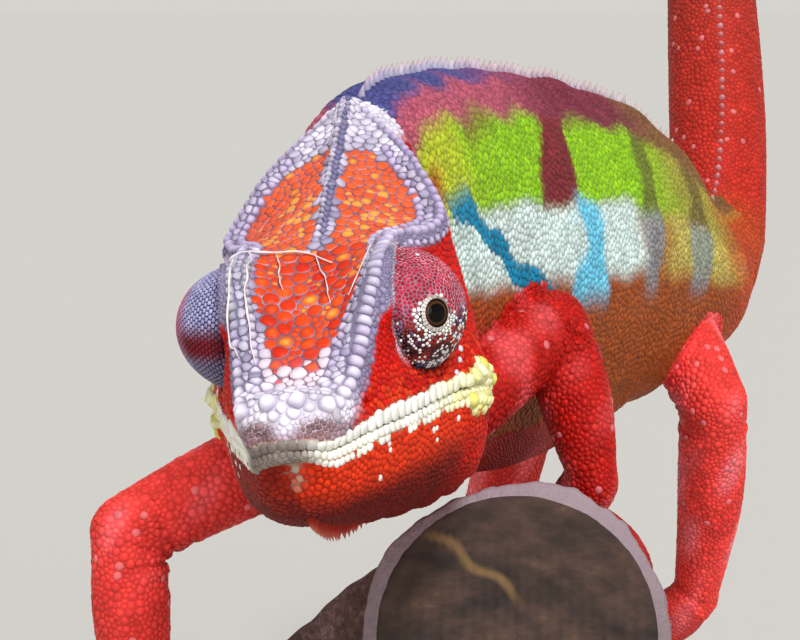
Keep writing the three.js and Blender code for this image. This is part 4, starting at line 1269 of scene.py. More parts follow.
def marked(name, grain_mm, relief_mm, **sockets):
    """A surface coloured by its markings, mottled finely, with a grain of the given size and depth."""
    material, tree, shader = new_material(name, **sockets)
    marks = add(tree, "ShaderNodeAttribute", attribute_name="Markings")
    place = add(tree, "ShaderNodeTexCoord")
    on_place = [("Vector", place, "Object")]
    mottle = add(tree, "ShaderNodeTexNoise", on_place, in_Scale=NOISE_GRAIN / (MOTTLE * MM), in_Detail=3)
    mottled = [("Value", mottle, "Fac")]
    shade = add(tree, "ShaderNodeMapRange", mottled, in_1=0.3, in_2=0.7, in_3=0.8, in_4=1.12)
    both = [(6, marks, "Color"), (7, shade, 0)]
    tone = add(tree, "ShaderNodeMix", both, data_type="RGBA", blend_type="MULTIPLY", in_0=1)
    tree.links.new(tone.outputs[2], shader.inputs["Base Color"])
    grain = add(tree, "ShaderNodeTexNoise", on_place, in_Scale=NOISE_GRAIN / (grain_mm * MM), in_Detail=2)
    depth = relief_mm * MM
    relief = add(tree, "ShaderNodeBump", [("Height", grain, "Fac")], in_Strength=0.6, in_Distance=depth)
    tree.links.new(relief.outputs[0], shader.inputs["Normal"])
    return material


def colour_ramp(ramp, first, *between_and_last):
    """Sets a ramp's stops, each a position and a hex colour, in rising order."""
    *between, last = between_and_last
    for stop, (position, code) in zip(ramp.elements, (first, last)):
        stop.position, stop.color = position, rgba(code)
    for position, code in between:
        ramp.elements.new(position).color = rgba(code)


def two_toned(name, dark, pale, scale, detail, stretch=None, depth=None, **sockets):
    """A surface whose colour runs from dark to pale by one noise, stretched or in relief if that is given."""
    material, tree, shader = new_material(name, **sockets)
    place, output = add(tree, "ShaderNodeTexCoord"), "Object"
    if stretch:
        place, output = add(tree, "ShaderNodeMapping", [("Vector", place, output)], in_Scale=stretch), 0
    noise = add(tree, "ShaderNodeTexNoise", [("Vector", place, output)], in_Scale=scale, in_Detail=detail)
    tones = add(tree, "ShaderNodeValToRGB", [("Fac", noise, "Fac")])
    colour_ramp(tones.color_ramp, (0, dark), (1, pale))
    tree.links.new(tones.outputs[0], shader.inputs["Base Color"])
    if depth:
        relief = add(tree, "ShaderNodeBump", [("Height", noise, "Fac")], in_Strength=0.3, in_Distance=depth)
        tree.links.new(relief.outputs[0], shader.inputs["Normal"])
    return material


# ---------------------------------------- make the skin
(skin_points, skin_faces), claw_places = make_skin()
surface = Surface(skin_points, skin_faces)
# Living lizard skin between the scales: soft and satin, pored.
SKIN = marked("lizard_skin", 0.25, 0.1, Roughness=0.6, Specular_IOR_Level=0.15)
# Keratin scales, grown: smoother than the skin, so each catches a small light; finely wrinkled.
KERATIN = marked("keratin_scales", 0.16, 0.05, Roughness=0.4, Specular_IOR_Level=0.13)
FLESH = ("head", "lower_jaw", "neck", "trunk", "tail", "arm_", "leg_", "eye_turret")
flesh = [name for name in frame["nodes"] if name.startswith(FLESH)]
BETWEEN_SCALES = 0.75  # the skin is darker than the scales on it
skin_mesh = new_mesh("skin", skin_points, skin_faces, skin_colour(skin_points)[0] * BETWEEN_SCALES)
new_piece("skin", skin_mesh, SKIN, "skin", *flesh)

coat = Coat()


def draw(n, low=0.0, high=1.0):
    """A random number for each of n scales."""
    return rng.uniform(low, high, n)


def beads(path, pitch, stretch=((0,), (1,))):
    """Places along a path of head points, a pitch apart that is stretched by the shares keyed by X."""
    gap = norm(np.diff(path, axis=0))
    gap = gap / (pitch * np.interp((path[1:, 0] + path[:-1, 0]) / 2, *stretch))
    count = np.concatenate([[0], np.cumsum(gap)])
    at = np.arange(0.5, count[-1])
    return np.column_stack([np.interp(at, count, path[:, k]) for k in range(3)])


def lay(places):
    """Head places laid on the skin."""
    return surface.drape(from_head(places))


def settle(x, y, z):
    """Places on the crown straight under or over the given X and Y of the head."""
    want = np.column_stack([x, y, z + 0 * x])
    place = want.copy()
    for _ in range(4):
        at, normal = lay(place)
        on = to_head(at)
        place[:, :2] += want[:, :2] - on[:, :2]
        place[:, 2] = on[:, 2]
    return at, normal


RIDGE_KEYS = [3, 8, 12, 24, 30, 60]
RIDGE_STRETCH = [1.5, 1.4, 1.05, 0.98, 1.15, 1.2]
#  side, inward, down, first X, last X, pitch, and width at the keys
RIDGE_COLUMNS = (
    (1, 0.45, -0.1, 3, 60, 1.3, [2.4, 2.8, 3.2, 3.3, 2.4, 1.8]),
    (1, 2.9, -0.1, 6, 52, 1.3, [1.9, 1.7, 1.5, 1.5, 1.7, 1.6]),
    (1, -0.4, 1.5, 28, 60, 1.3, [1.3] * 6),
    (-1, 0.3, -0.2, 3, 60, 1.25, [2.4, 2.2, 1.8, 1.8, 2.0, 1.8]),
    (-1, 2.05, -0.1, 5, 52, 1.25, [2.0, 1.8, 1.6, 1.6, 1.7, 1.6]),
    (-1, -0.4, 1.5, 28, 60, 1.3, [1.3] * 6),
)


def ridge_tubercles():
    """Pillows in columns along the brow ridges, wide on the left, with smaller columns beside them."""
    x = np.linspace(3.4, 60, 400)
    edge = ridge_edge(x)
    for sign, inward, down, first, last, pitch, widths in RIDGE_COLUMNS:
        path = np.column_stack([x, sign * (edge[:, 0] - inward), edge[:, 1] - down + 0.5])
        place = beads(path, pitch, (RIDGE_KEYS, RIDGE_STRETCH)) + rng.normal(0, 0.08, 3)
        place = place[(place[:, 0] > first) & (place[:, 0] < last)]
        at, normal = lay(place)
        q = place[:, 0]
        n = len(q)
        wide = np.interp(q, RIDGE_KEYS, widths) * draw(n, 0.93, 1.07)
        long = pitch * np.interp(q, RIDGE_KEYS, RIDGE_STRETCH) * 0.64
        pale = draw(n, 0, 0.6) * (1 - 0.7 * step(30, 38, q)) + 0.7 * step(12, 6, q) + 0.4 * step(52, 58, q)
        tint = mix(LILAC, LILAC_WHITE, pale)
        grey = step(13, 17, q) * step(27, 24, q) * (0.8 if sign < 0 else 0.3)
        tint = mix(tint, "8e9a9c", grey * draw(n, 0.4, 1))
        rim, heart = mix(tint * 0.4, LILAC_GREY, 0.4), mix(tint, LILAC_WHITE, 0.4)
        height = np.minimum(wide, 2.4) * 0.27
        sideways = np.tile(HEAD_AXES[1], (n, 1))
        coat.add("knob", at, normal, wide, height, rim, tint, heart, sideways, wide * 0.54, long, 0.985)


def midline_ridge():
    """Two rows of small pillows along the casque's middle, pale on the right and slate on the left."""
    x = np.linspace(30, 60, 200)
    path = np.column_stack([x, 0 * x, smooth(SKULL, x)[:, 6] + 1.5])
    for offset in (0.55, -0.55):
        place = beads(path + [0, offset, 0], 1.15) + [0.3 * (offset > 0), 0, 0]
        at, normal = lay(place)
        n = len(at)
        if offset < 0:
            tint = mix(LILAC_GREY, LILAC_WHITE, draw(n, 0.1, 0.7))
        else:
            tint = mix(SLATE, LILAC_GREY, draw(n))
        coat.add("knob", at, normal, 1.15, 0.32, tint * 0.5, tint, fill=0.97)


#  X, Z, size and the places across of each row of knobs on the snout
SNOUT_ROWS = (
    (1.5, 6.5, 2.0, (-1.2, 0.9)),
    (2.6, 7.4, 3.5, (-4.9, -1.8, 1.3, 4.4)),
    (5.2, 8.6, 2.6, (-3.7, -1.2, 1.3, 3.8)),
    (7.3, 8.9, 2.1, (-5.1, -3.2, 3.3, 5.2)),
)


def snout_knobs():
    """A crescent of big pale knobs over the snout's tip and smaller ones behind it, in bowed rows."""
    knobs = np.array([(x, y, z, size) for x, z, size, across in SNOUT_ROWS for y in across])
    x, y, z, size = knobs.T
    at, normal = lay(np.column_stack([x + 0.12 * np.abs(y), y, z - 0.15 * np.abs(y)]))
    tint = mix(LILAC, LILAC_WHITE, draw(len(at), 0.8, 1))
    rim = mix(tint * 0.7, LILAC_GREY, 0.3)
    coat.add("knob", at, normal, size, size * 0.23, rim, tint, linear("f8f4fb"), fill=0.985)


#  above or under, pitch, height of a tab at the side, at the front, further from the mouth line by
LIP_ROWS = ((1, 1.6, 2.1, 1.3, 0), (-1, 1.15, 1.15, 1.1, 0), (-1, 1.25, 0.95, 0.9, 1.2))
LIP_STRETCH = ([0, 4, 10, 30, 40], [0.72, 0.8, 1.0, 1.0, 0.9])
LIP_WIDTH = ([0, 4, 10], [0.72, 0.8, 1.0])


def lips():
    """Rounded tabs above the mouth line and smaller scales under it, lumpy and yellow at the corners."""
    x = np.linspace(MOUTH_CORNER + 0.6, 0.4, 300)
    row = smooth(SKULL, x)
    half = np.column_stack([x, row[:, 0], row[:, 1]])
    front = np.column_stack([np.full(30, 0.2), np.linspace(2.2, -2.2, 30), np.full(30, 2.6)])
    path = np.concatenate([half, front, half[::-1] * [1, -1, 1]])
    for up, pitch, tall, tall_front, further in LIP_ROWS:
        place = beads(path, pitch, LIP_STRETCH)
        q = place[:, 0]
        n = len(q)
        high = np.interp(q, [5, 10], [tall_front, tall]) * draw(n, 0.84, 1.12)
        shift = high / 2 + 0.02 + further
        at, normal = lay(place + np.column_stack([0 * q, 0 * q, up * shift]))
        corner = step(20, 34, q)
        tint = mix(WHITE, CREAM, corner * 0.6 + 0.4 * draw(n) * (up < 0))
        # painted shadow: the front of the lips, under the snout, is darkened to grey-brown
        snout_shadow = step(6, 3, q) * step(4.4, 1.0, place[:, 1]) * step(-7.5, -4.5, place[:, 1])
        tint = mix(tint, "66504a", snout_shadow * 0.85)
        tint = mix(tint, YELLOW, corner * draw(n, 0.1, 0.6))
        if further:
            keep = draw(n) < np.interp(q, [0, 8, 12, 24, 36], [0.9, 0.85, 0.6, 0.6, 0.85])
            at, normal, tint, high, q = at[keep], normal[keep], tint[keep], high[keep], q[keep]
        wide = pitch * np.interp(q, *LIP_WIDTH) * draw(len(q), 0.92, 1.1)
        rim = mix(tint * 0.86, YELLOW * 0.8, 0.4 * step(20, 34, q))
        lift = np.interp(q, [24, 36], [0.17, 0.35])
        upright = np.tile(HEAD_AXES[2], (len(q), 1))
        size, long, short = (wide + high) / 2, high * 0.6, wide * 0.56
        coat.add("lip", at, normal, size, lift, rim, tint, None, upright, long, short, 0.995)


def gaze_place(on, side):
    """Distance from a turret's gaze line and angle round it, from the hind side over the top, in degrees."""
    middle, axes = turret_frame(side)
    across = (on - middle) @ axes.T
    return np.hypot(across[:, 0], across[:, 1]), np.degrees(np.arctan2(across[:, 1], across[:, 0])) % 360


#  how far the pale scales of the lid reach from the gaze line, by the angle round it
LID_ANGLES = [0, 60, 100, 150, 180, 230, 270, 310, 340, 360]
LID_REACH = [2.0, 2.05, 2.2, 2.75, 3.0, 2.7, 2.7, 2.95, 2.5, 2.0]


def turret_tints(on, side):
    """Rim and crown of turret scales: crimson above, dark with pale dots below, slate on the right turret."""
    n = len(on)
    rise = on[:, 2] - EYE_PLACE[2]
    patch, fine = wave_noise(on, 3.0, 5), wave_noise(on, 1.3, 6)
    pick = draw(n)
    far, turn = gaze_place(on, side)
    if side == "left":
        crown = mix("860a20", "cc2240", draw(n))
        rim = mix("b07a92", "ecd2dc", draw(n))
        low = step(1.2, -1.6, rise + 1.1 * patch)
        crown = mix(crown, "2a1816", low * 0.85)
        crown = mix(crown, "a4301a", low * step(0.0, 0.4, patch) * (pick > 0.35))
        rim = mix(rim, "241816", low * 0.9)
        mauve = step(-0.2, 0.4, fine) * step(3.2, 0.5, np.abs(rise + 0.5)) * step(25.6, 24.4, on[:, 0])
        crown = mix(crown, "7c6c9c", mauve * (pick > 0.4) * 0.8)
        band = step(-4.9, -5.7, rise)
        crown, rim = mix(crown, "56607c", band), mix(rim, "343e54", band)
        dots = pick < 0.003 + 0.3 * low + 0.1 * (mauve > 0.5)
        crown, rim = mix(crown, "f0eef0", dots), mix(rim, "8c8284", dots * low)
    else:
        crown = mix("9494c2", "bcb6dc", draw(n))
        rim = np.tile(linear("43476e"), (n, 1))
        ahead = on[:, 0] - EYE_PLACE[0] + 0.5 * patch
        dark = step(-2.0, -4.6, ahead) * step(3.4, 0.5, np.abs(rise + 1.0))
        crown, rim = mix(crown, "7d1620", dark), mix(rim, "4a0c12", dark)
        crown = mix(crown, "c24a68", 0.8 * step(6.4, 4.6, far))
        low = step(-1.5, -4.5, rise)
        crown, rim = mix(crown, "6a6480", low * 0.7), mix(rim, "26202e", low * 0.8)
    lid = step(0.1, -0.1, far - np.interp(turn, LID_ANGLES, LID_REACH) - 0.4 * fine)
    return mix(rim, "8a8078", lid), mix(crown, "f4f1ec", lid)


def turret_rows():
    """Small scales in rows round the right turret's gaze, where the skin is drawn into fine rings."""
    middle, axes = turret_frame("right")
    places = []
    for ring, degrees in enumerate(np.arange(15.5, 156, 3.75)):
        away = math.radians(degrees)
        n = int(TAU * TURRET * math.sin(away) / 0.68)
        a = TAU * (np.arange(n) + 0.5 * (ring % 2)) / n
        way = np.stack([np.cos(a) * math.sin(away), np.sin(a) * math.sin(away), 0 * a + math.cos(away)], 1)
        places.append(middle + (TURRET + 0.2) * way @ axes)
    at, normal = lay(np.concatenate(places))
    on = to_head(at)
    clear = (np.abs(turret_gap(on)) < 0.3) & (on[:, 1] < -6.0)
    at, normal, on = at[clear], normal[clear], on[clear]
    rim, crown = turret_tints(on, "right")
    to_gaze = from_head(middle + 8 * axes[2]) - at
    coat.add("turret", at, normal, 0.6, 0.17, rim, crown, None, to_gaze, 0.29, 0.5, 0.98)


def crests():
    """Cones along the back's keel, shrinking on the tail, and red ones hanging from chin and throat."""
    s = np.arange(20, BODY_LENGTH, 2.1)
    at, _, up, high, _, _ = body_line(s)
    back = at + up * (high + 0.5)[:, None]
    t = np.arange(6, 120, 2)
    tail = TAIL_AT[t] + TAIL_UP[t] * (TAIL_THICK[t] + 0.5)[:, None]
    x = np.arange(6.5, 44, 1.5)
    throat = from_head(np.column_stack([x, 0 * x, smooth(JAW_DEPTH, x) - 1]))
    #  roots, heights, the colour they lean to and the share of it
    sets = (
        (back, np.interp(s, [0, 30, 120, BODY_LENGTH], [1.5, 1.9, 1.8, 1.3]), LILAC_WHITE, 0.4),
        (tail, np.interp(t, [0, 70, 120], [1.3, 0.8, 0.4]), LILAC_WHITE, 0.12),
        (throat, np.interp(x, [6, 12, 44], [1.6, 2.4, 1.0]), linear("c8301a"), 0.4),
    )
    for root, tall, towards, share in sets:
        at, normal = surface.drape(root)
        tint = mix(skin_colour(at)[0], towards, share + 0.2 * draw(len(at)))
        tip = mix(tint, "e8a898", 0.6)
        coat.add("spine", at, normal, 1.7, tall, tint * 0.6, tint, tip, fill=0.95)


ridge_tubercles()
midline_ridge()
snout_knobs()
lips()
turret_rows()
crests()
fixed = coat.all()


def size_of(p):
    """Small and large size of scales at each place, and the share of large ones."""
    part, length, _, _, h = locate(p)
    small, large, share = (np.full(len(p), v) for v in (1.0, 1.45, 0.35))

    def put(where, low, high, part_large):
        """Sets the two sizes and the share of large ones of a zone."""
        for field, value in ((small, low), (large, high), (share, part_large)):
            field[where] = np.broadcast_to(value, len(p))[where]

    tail = np.interp(length, [0, 100, 170, TAIL_LENGTH], [1.0, 0.95, 0.7, 0.45])
    put(part == TAIL, tail, tail * 1.4, 0.3)
    limb = np.interp(length, [0, 0.3, 1], [0.95, 0.95, 0.8])
    put(part == LIMB, limb, limb * 1.6, 0.25)
    put(part == FOOT, 0.7, 0.9, 0.2)
    head = part == HEAD
    crown, field, panel = crown_zones(h)
    above, gap = mouth_height(h), turret_gap(h)
    put(head, 0.8, 1.0, 0.5)
    put(head & (h[:, 0] > 38), 0.95, 1.2, 0.4)
    put(head & (above < -6), 0.7, 0.95, 0.4)
    put(head & (gap < 2.6) & (h[:, 2] > 7), 0.45, 0.55, 0.3)
    put(head & (gap < 0.2), 0.46, 0.58, 0.5)
    put(head & (gap < 0.2) & (h[:, 2] < EYE_PLACE[2]), 0.42, 0.52, 0.4)
    put(head & (corner_share(h) > 0.5), 1.3, 1.9, 0.6)
    put(head & crown, 1.2, 1.8, 0.6)
    put(head & (h[:, 0] < 7) & (h[:, 2] > 6), 1.1, 1.6, 0.6)
    put(head & (h[:, 0] < 5) & (h[:, 2] > 2.8) & (h[:, 2] < 6), 0.65, 0.85, 0.5)
    put(head & field, 0.95, 2.3, 0.34)
    put(head & panel, 1.05, 1.65, 0.5)
    coarse = np.where(head, 1.0, 1.0)
    return small * coarse, large * coarse, share


def open_skin(p):
    """Where loose scales may lie: not on the right turret, the left pupil or the lips."""
    h = to_head(p)
    on_head = (h[:, 0] < HEAD_LENGTH) & (p[:, 1] < NECK_FRONT)
    above = mouth_height(h)
    lip_zone = (h[:, 0] < MOUTH_CORNER + 0.5) & (above > -1.4) & (above < 1.9 * lip_reach(h[:, 0]))
    shut = (turret_gap(h) < 0.15) & ((h[:, 1] < 0) | (gaze_place(h, "left")[0] < 1.62))
    return ~(on_head & (shut | lip_zone))


PUSHES, QUICK_PUSHES = 9, 5


def loose_scales():
    """The scattered scales of the whole body, coloured by zone."""
    rounds = PUSHES
    at, normal, size = scatter(surface, size_of, open_skin, fixed["at"], fixed["size"], rounds)
    tint, part, _, _, _, h = skin_colour(at)
    n = len(at)
    head = part == HEAD
    crown, field, panel = (z & head for z in crown_zones(h))
    x, y, z = h.T
    above = mouth_height(h)
    pick = draw(n)
    field &= draw(n) > 0.6 * step(13, 8.5, x)
    plate = mix("cf2c14", "e44a1c", draw(n))
    plate = mix(plate, "c2203a", 0.4 * panel * step(0.3, 0.9, wave_noise(h, 5, 8)))
    plate = mix(plate, "ec6c3c", 0.55 * panel)
    plate = mix(plate, "e2a2b0", 0.3 * field * step(13, 8, x))
    heart = mix(plate, "f06a28", (pick > 0.5) * draw(n, 0.2, 0.9))
    gold = panel & (np.abs(np.abs(y) - 5.5) < 3.5) & (x < 43)
    heart = mix(heart, "f2b44a", ((pick > 0.9) | (gold & (pick > 0.66))) * 0.9)
    plate = mix(plate, heart, gold * (pick > 0.66) * 0.4)
    lilac = mix(LILAC_GREY, LILAC_WHITE, draw(n, 0, 0.6) + 0.5 * step(9, 5, x) + 0.5 * step(46, 56, x))
    lilac = mix(lilac, "f4dfe9", 0.8 * step(15, 10, x) * step(6, 8, x) * (np.abs(y) < 4))
    body = tint * draw(n, 0.82, 1.18)[:, None]
    # pale pink scales on limbs and tail: partly pale scales, partly painted highlights
    pale = ((part == LIMB) | (part == TAIL)) & (size > 1.3) & (pick > 0.93)
    body = mix(body, "ee8c94", pale * 0.5)
    face = head & ~crown
    under_lip = face & (x < MOUTH_CORNER) & (above < -1.5)
    dotted = (above > -3.4) & (pick > 0.93) | (above > -6) & (pick > 0.985)
    body = mix(body, WHITE, 0.85 * (under_lip & (x > 8) & dotted))
    swollen = head * corner_share(h)
    # orange speckles on the face above the mouth: orange scales, partly painted highlights
    orange_glint_speckle = face & (above > 0) & (x > 8) & (pick > 0.6) & (swollen < 0.3)
    body = mix(body, ORANGE, orange_glint_speckle * step(9, 4, z) * 0.6)
    post = face & (np.abs(x - 30.6 - (z - 3.6) * 0.75) < 1.0) & (z > 2.6) & (z < 9) & (np.abs(y) > 12)
    body = mix(body, LILAC_WHITE, post * (pick > 0.4))
    # brown patches by the nostrils: their own colour and painted shade under the snout knob
    nostril_and_shade = head * step(5, 3, x) * step(3.2, 1.2, np.hypot(np.abs(y) - 3.3, 1.7 * (z - 4.5)))
    tone = np.where((field | panel)[:, None], plate, np.where(crown[:, None], lilac, body))
    tone = mix(tone, NOSTRIL_AND_SHADE_BROWN, nostril_and_shade)
    heart = np.where((field | panel)[:, None], heart, tone)
    net = mix("5e2230", "c8b4c4", 0.15 + 0.8 * draw(n))
    rim = np.where((field | panel)[:, None], net, tone * 0.5)
    rim = np.where((face & (above < -3))[:, None], tone * 0.35, rim)
    rim = mix(rim, tone * 0.8, swollen)
    rise = np.where(crown, 0.18, np.where(head, 0.2 + 0.08 * swollen, 0.12))
    height = size * np.where(field | panel, 0.1, rise)
    on_turret = head & (turret_gap(h) < 0.2)
    rim[on_turret], tone[on_turret] = turret_tints(h[on_turret], "left")
    heart[on_turret] = tone[on_turret]
    kind = np.where(on_turret, "turret", "loose")
    coat.add(kind, at, normal, size, height, rim, tone, heart, fill=np.where(crown, 0.975, 0.96))


loose_scales()
rows = coat.all()
part, length, angle, leg_of, h = locate(rows["at"])
chart = unwrap(rows["at"], part, length, angle, leg_of)
near = neighbours(rows["at"], 12)
rows["lean"] = np.where((rows["kind"] == "spine")[:, None], [0.18, 0.4, 0.0], 0)
crown = crown_zones(h)[0] & (part == HEAD)
loose = rows["kind"] == "loose"
left = rows["at"][:, 0] > np.interp(rows["at"][:, 1], TRUNK_AT[:, 1], TRUNK_AT[:, 0])
FLANK_SPLIT, TAIL_SPLIT = 84, 50
front = length < FLANK_SPLIT
limb = loose & ((part == LIMB) | (part == FOOT))
trunk = loose & (part == TRUNK)
for name, chosen, ways, profile in (
    ("ridge_tubercles", rows["kind"] == "knob", 12, "knob"),
    ("lip_scales", rows["kind"] == "lip", 12, "plate"),
    ("turret_scales", rows["kind"] == "turret", 8, "netted"),
    ("crest_spines", rows["kind"] == "spine", 8, "spine"),
    ("crown_plates", loose & crown, 12, "plate"),
    ("face_scales", loose & ~crown & (part == HEAD), 8, "tile"),
    ("flank_scales_left_front", trunk & left & front, 7, "tile"),
    ("flank_scales_left_rear", trunk & left & ~front, 7, "tile"),
    ("flank_scales_right_front", trunk & ~left & front, 7, "tile"),
    ("flank_scales_right_rear", trunk & ~left & ~front, 7, "tile"),
    ("tail_scales_root", loose & (part == TAIL) & (length < TAIL_SPLIT), 7, "tile"),
    ("tail_scales_curl", loose & (part == TAIL) & (length >= TAIL_SPLIT), 7, "tile"),
    *((f"{leg}_scales", limb & (leg_of == number), 7, "tile") for number, leg in enumerate(LEGS)),
):
    index = np.flatnonzero(chosen)
    points, faces, tints, spots = scale_mesh(rows, index, near[index], ways, profile, chart)
    print(name, len(index), "scales", len(faces), "triangles")
    new_piece(name, new_mesh(name, points, faces, tints, spots), KERATIN, "skin")


# ---------------------------------------- shed skin
#  a thread's radius, X and Y of its keys: over the brow, inner and outer right ridge, left ridge, forehead
SHED_LINES = (
    (0.16, [24.6, 25.6, 27, 28, 28.7, 28.2, 27, 25.5], [-9.6, -8.9, -7.6, -6.2, -3.3, -1.0, 0.8, 2.6]),
    (0.16, [26.6, 25.2, 22, 18.5, 15, 12.4, 10.4], [-8.0, -7.5, -7.3, -6.9, -6.1, -5.4, -4.6]),
    (0.16, [25.3, 22, 18.5, 15, 12.6, 11], [-9.3, -8.8, -8.5, -8.0, -7.3, -6.6]),
    (0.1, [28.2, 26, 22.5, 20.4, 18], [6.6, 7.3, 7.3, 6.6, 5.6]),
    (0.1, [27.8, 25.6, 23.2, 21.2], [-4.8, -4.0, -3.8, -3.0]),
    (0.1, [28, 25.4, 23, 20.5, 18.4], [0.0, 0.8, 2.1, 2.6, 3.4]),
)


def shed_ribbons():
    """Thin dry threads laid over the scales, each a tube that swells and thins along its way."""
    shells = []
    t = np.linspace(0, 1, 90)
    way = np.column_stack([t * 40, t, t])
    for number, (thread, keys_x, keys_y) in enumerate(SHED_LINES):
        place = smooth(np.column_stack([np.linspace(0, 1, len(keys_x)), keys_x, keys_y]), t)
        place = place + 0.1 * np.stack([wave_noise(way, 7, number + k) for k in (30, 50)], 1)
        at, normal = settle(place[:, 0], place[:, 1], ridge_edge(place[:, 0])[:, 1])
        at = at + normal * 0.5
        for _ in range(6):
            at[1:-1] = (at[:-2] + 2 * at[1:-1] + at[2:]) / 4
        thick = thread * (0.8 + 0.25 * np.sin(t * 21 + number)) * np.sin(np.pi * (0.04 + 0.92 * t)) ** 0.4
        shells.append(capsule(at[::3], np.column_stack([t, np.maximum(thick, 0.05)]), sides=8, count=120))
    return join(shells)


# Shed skin: thin dry keratin film, milky and matt.
SHED = two_toned("shed_skin_film", "cbb8bd", "fbf8f4", 700, 3, Roughness=0.6)
new_piece("shed_threads", new_mesh("shed_threads", *shed_ribbons()), SHED, "skin")


# ---------------------------------------- eyes
def ring_faces(points, rings, sides, way):
    """Quads between rings of points, turned over if on the whole they look away from the given way."""
    row = np.arange(rings - 1)[:, None] * sides
    j = np.arange(sides)[None]
    k = (j + 1) % sides
    faces = np.stack([row + j, row + k, row + sides + k, row + sides + j], -1).reshape(-1, 4)
    first = points[faces[:, 0]]
    total = np.cross(points[faces[:, 1]] - first, points[faces[:, 3]] - first).sum(0)
    return faces if total @ way > 0 else faces[:, ::-1]


PUPIL, IRIS = 1.18, 1.46
# Wet cornea over a dark pupil and a thin gold-brown iris: clear, very smooth.
CORNEA = marked("wet_cornea", 0.5, 0.0, Roughness=0.05, IOR=1.38, Specular_IOR_Level=0.2)


def eyeball(side):
    """A ball whose front shows pupil, iris and a dark rim as rings round the gaze."""
    middle, axes = turret_frame(side)
    points, faces = ball((0, 0, 0), EYEBALL, count=72)
    away = np.hypot(points[:, 0], points[:, 1])
    ahead = points[:, 2] > 0
    rays = 0.75 + 0.25 * np.sin(np.arctan2(points[:, 1], points[:, 0]) * 40)
    tint = mix("0a0808", "6e4826", step(PUPIL, PUPIL + 0.05, away) * ahead * rays)
    tint = mix(tint, "1a100c", step(PUPIL + 0.05, PUPIL + 0.1, away) * 0.85)
    tint = mix(tint, "5c3a1e", step(IRIS - 0.1, IRIS - 0.05, away) * ahead * rays)
    tint = mix(tint, "140d0a", step(IRIS, IRIS + 0.06, away))
    place = from_head(points @ axes + middle + axes[2] * EYEBALL_OUT)
    return new_mesh(f"eyeball_{side}", *outward(place, faces), tint)


#  share of the lid's profile, distance from the gaze line, height along it
LID_PROFILE = [
    [0, 1.4, 7.2], [0.3, 1.42, 7.64], [0.6, 1.48, 7.8], [0.8, 1.6, 7.76], [0.9, 1.85, 7.4], [1, 2.2, 7.1],
]
LID_RINGS, LID_SIDES = 48, 288


def eyelid(side):
    """The fused lid's rim: a ring that rises to a rounded edge and sinks under the scales round it."""
    middle, axes = turret_frame(side)
    a = TAU * np.arange(LID_SIDES) / LID_SIDES
    t = np.linspace(0, 1, LID_RINGS)
    profile = smooth(LID_PROFILE, t)
    oval = 1 + 0.13 * np.sin(a)[None] ** 2
    uneven = a * 12 + 0.9 * np.sin(2 * a + 1) + 0.6 * np.sin(5 * a + 2)
    lump = np.abs(np.sin(uneven))[None] ** 0.4 * step(0.5, 0.8, t)[:, None]
    out = profile[:, :1] * oval
    high = profile[:, 1:] + 0.05 * lump
    ring = np.stack([out * np.cos(a), out * np.sin(a), high + 0 * a], -1)
    place = from_head(ring.reshape(-1, 3) @ axes + middle)
    # painted shade: the lid's inner slope is dark, standing for the shade in the eye opening
    edge = mix("15100e", "5a4438", step(0.4, 0.65, t)[:, None] + 0 * lump)
    pale = step(2.0, 2.6, np.interp(np.degrees(a), LID_ANGLES, LID_REACH))[None]
    edge = mix(edge, "f4efe8", step(0.5, 0.7, t)[:, None] * (0.25 + 0.75 * pale) * lump)
    gaze = from_head(middle + axes[2]) - from_head(middle)
    faces = ring_faces(place, LID_RINGS, LID_SIDES, gaze)
    return new_mesh(f"eyelid_{side}", place, faces, edge.reshape(-1, 3))


for side in SIGN:
    new_piece(f"eyeball_{side}", eyeball(side), CORNEA, "eye", f"eye_{side}")
    new_piece(f"eyelid_{side}", eyelid(side), KERATIN, "skin")


# ---------------------------------------- claws
def claw_shells():
    """Each claw is a cone bent along an arc towards the wood, with an oval section."""
    shells = []
    for spot, radius, sign, span, toe, shift in claw_places:
        t = np.linspace(0, 1, 12)
        angle = sign * (span * 0.965 + 1.7 * toe / radius * t)
        height = radius + 0.25 + toe * (0.62 * (1 - t) ** 1.5 + 0.5 * t * (1 - t))
        line = spot(angle, height, shift + 0 * t)
        _, side, up = frames_along(line, first_side=unit(spot(0.0, radius, 1.0) - spot(0.0, radius, 0.0)))
        r = toe * 0.34 * (1 - t) ** 0.7 + 0.06
        shells.append(shell(ovals(line, side, up, r * 1.15, r * 1.15, r * 0.85, 0, 12)))
    return join(shells)


# Claw horn: grey-brown keratin, smooth and cloudy, with a thin gloss.
HORN = two_toned("claw_horn", "3a2a24", "8c7466", 600, 2, Roughness=0.3, Coat_Weight=0.3, Coat_Roughness=0.2)
new_piece("claws", new_mesh("claws", *claw_shells()), HORN, "skin")


# ---------------------------------------- the perch
LOG_RINGS, LOG_SIDES = 230, 200
BRANCH_RINGS, BRANCH_SIDES = 110, 100
DISC_RINGS, DISC_SIDES = 70, 160
GROWTH_RING = 2.6
RING_SPAN = 30  # a sawn face's markings hold the distance from its middle as a share of this
BARK_THICK = 2.0


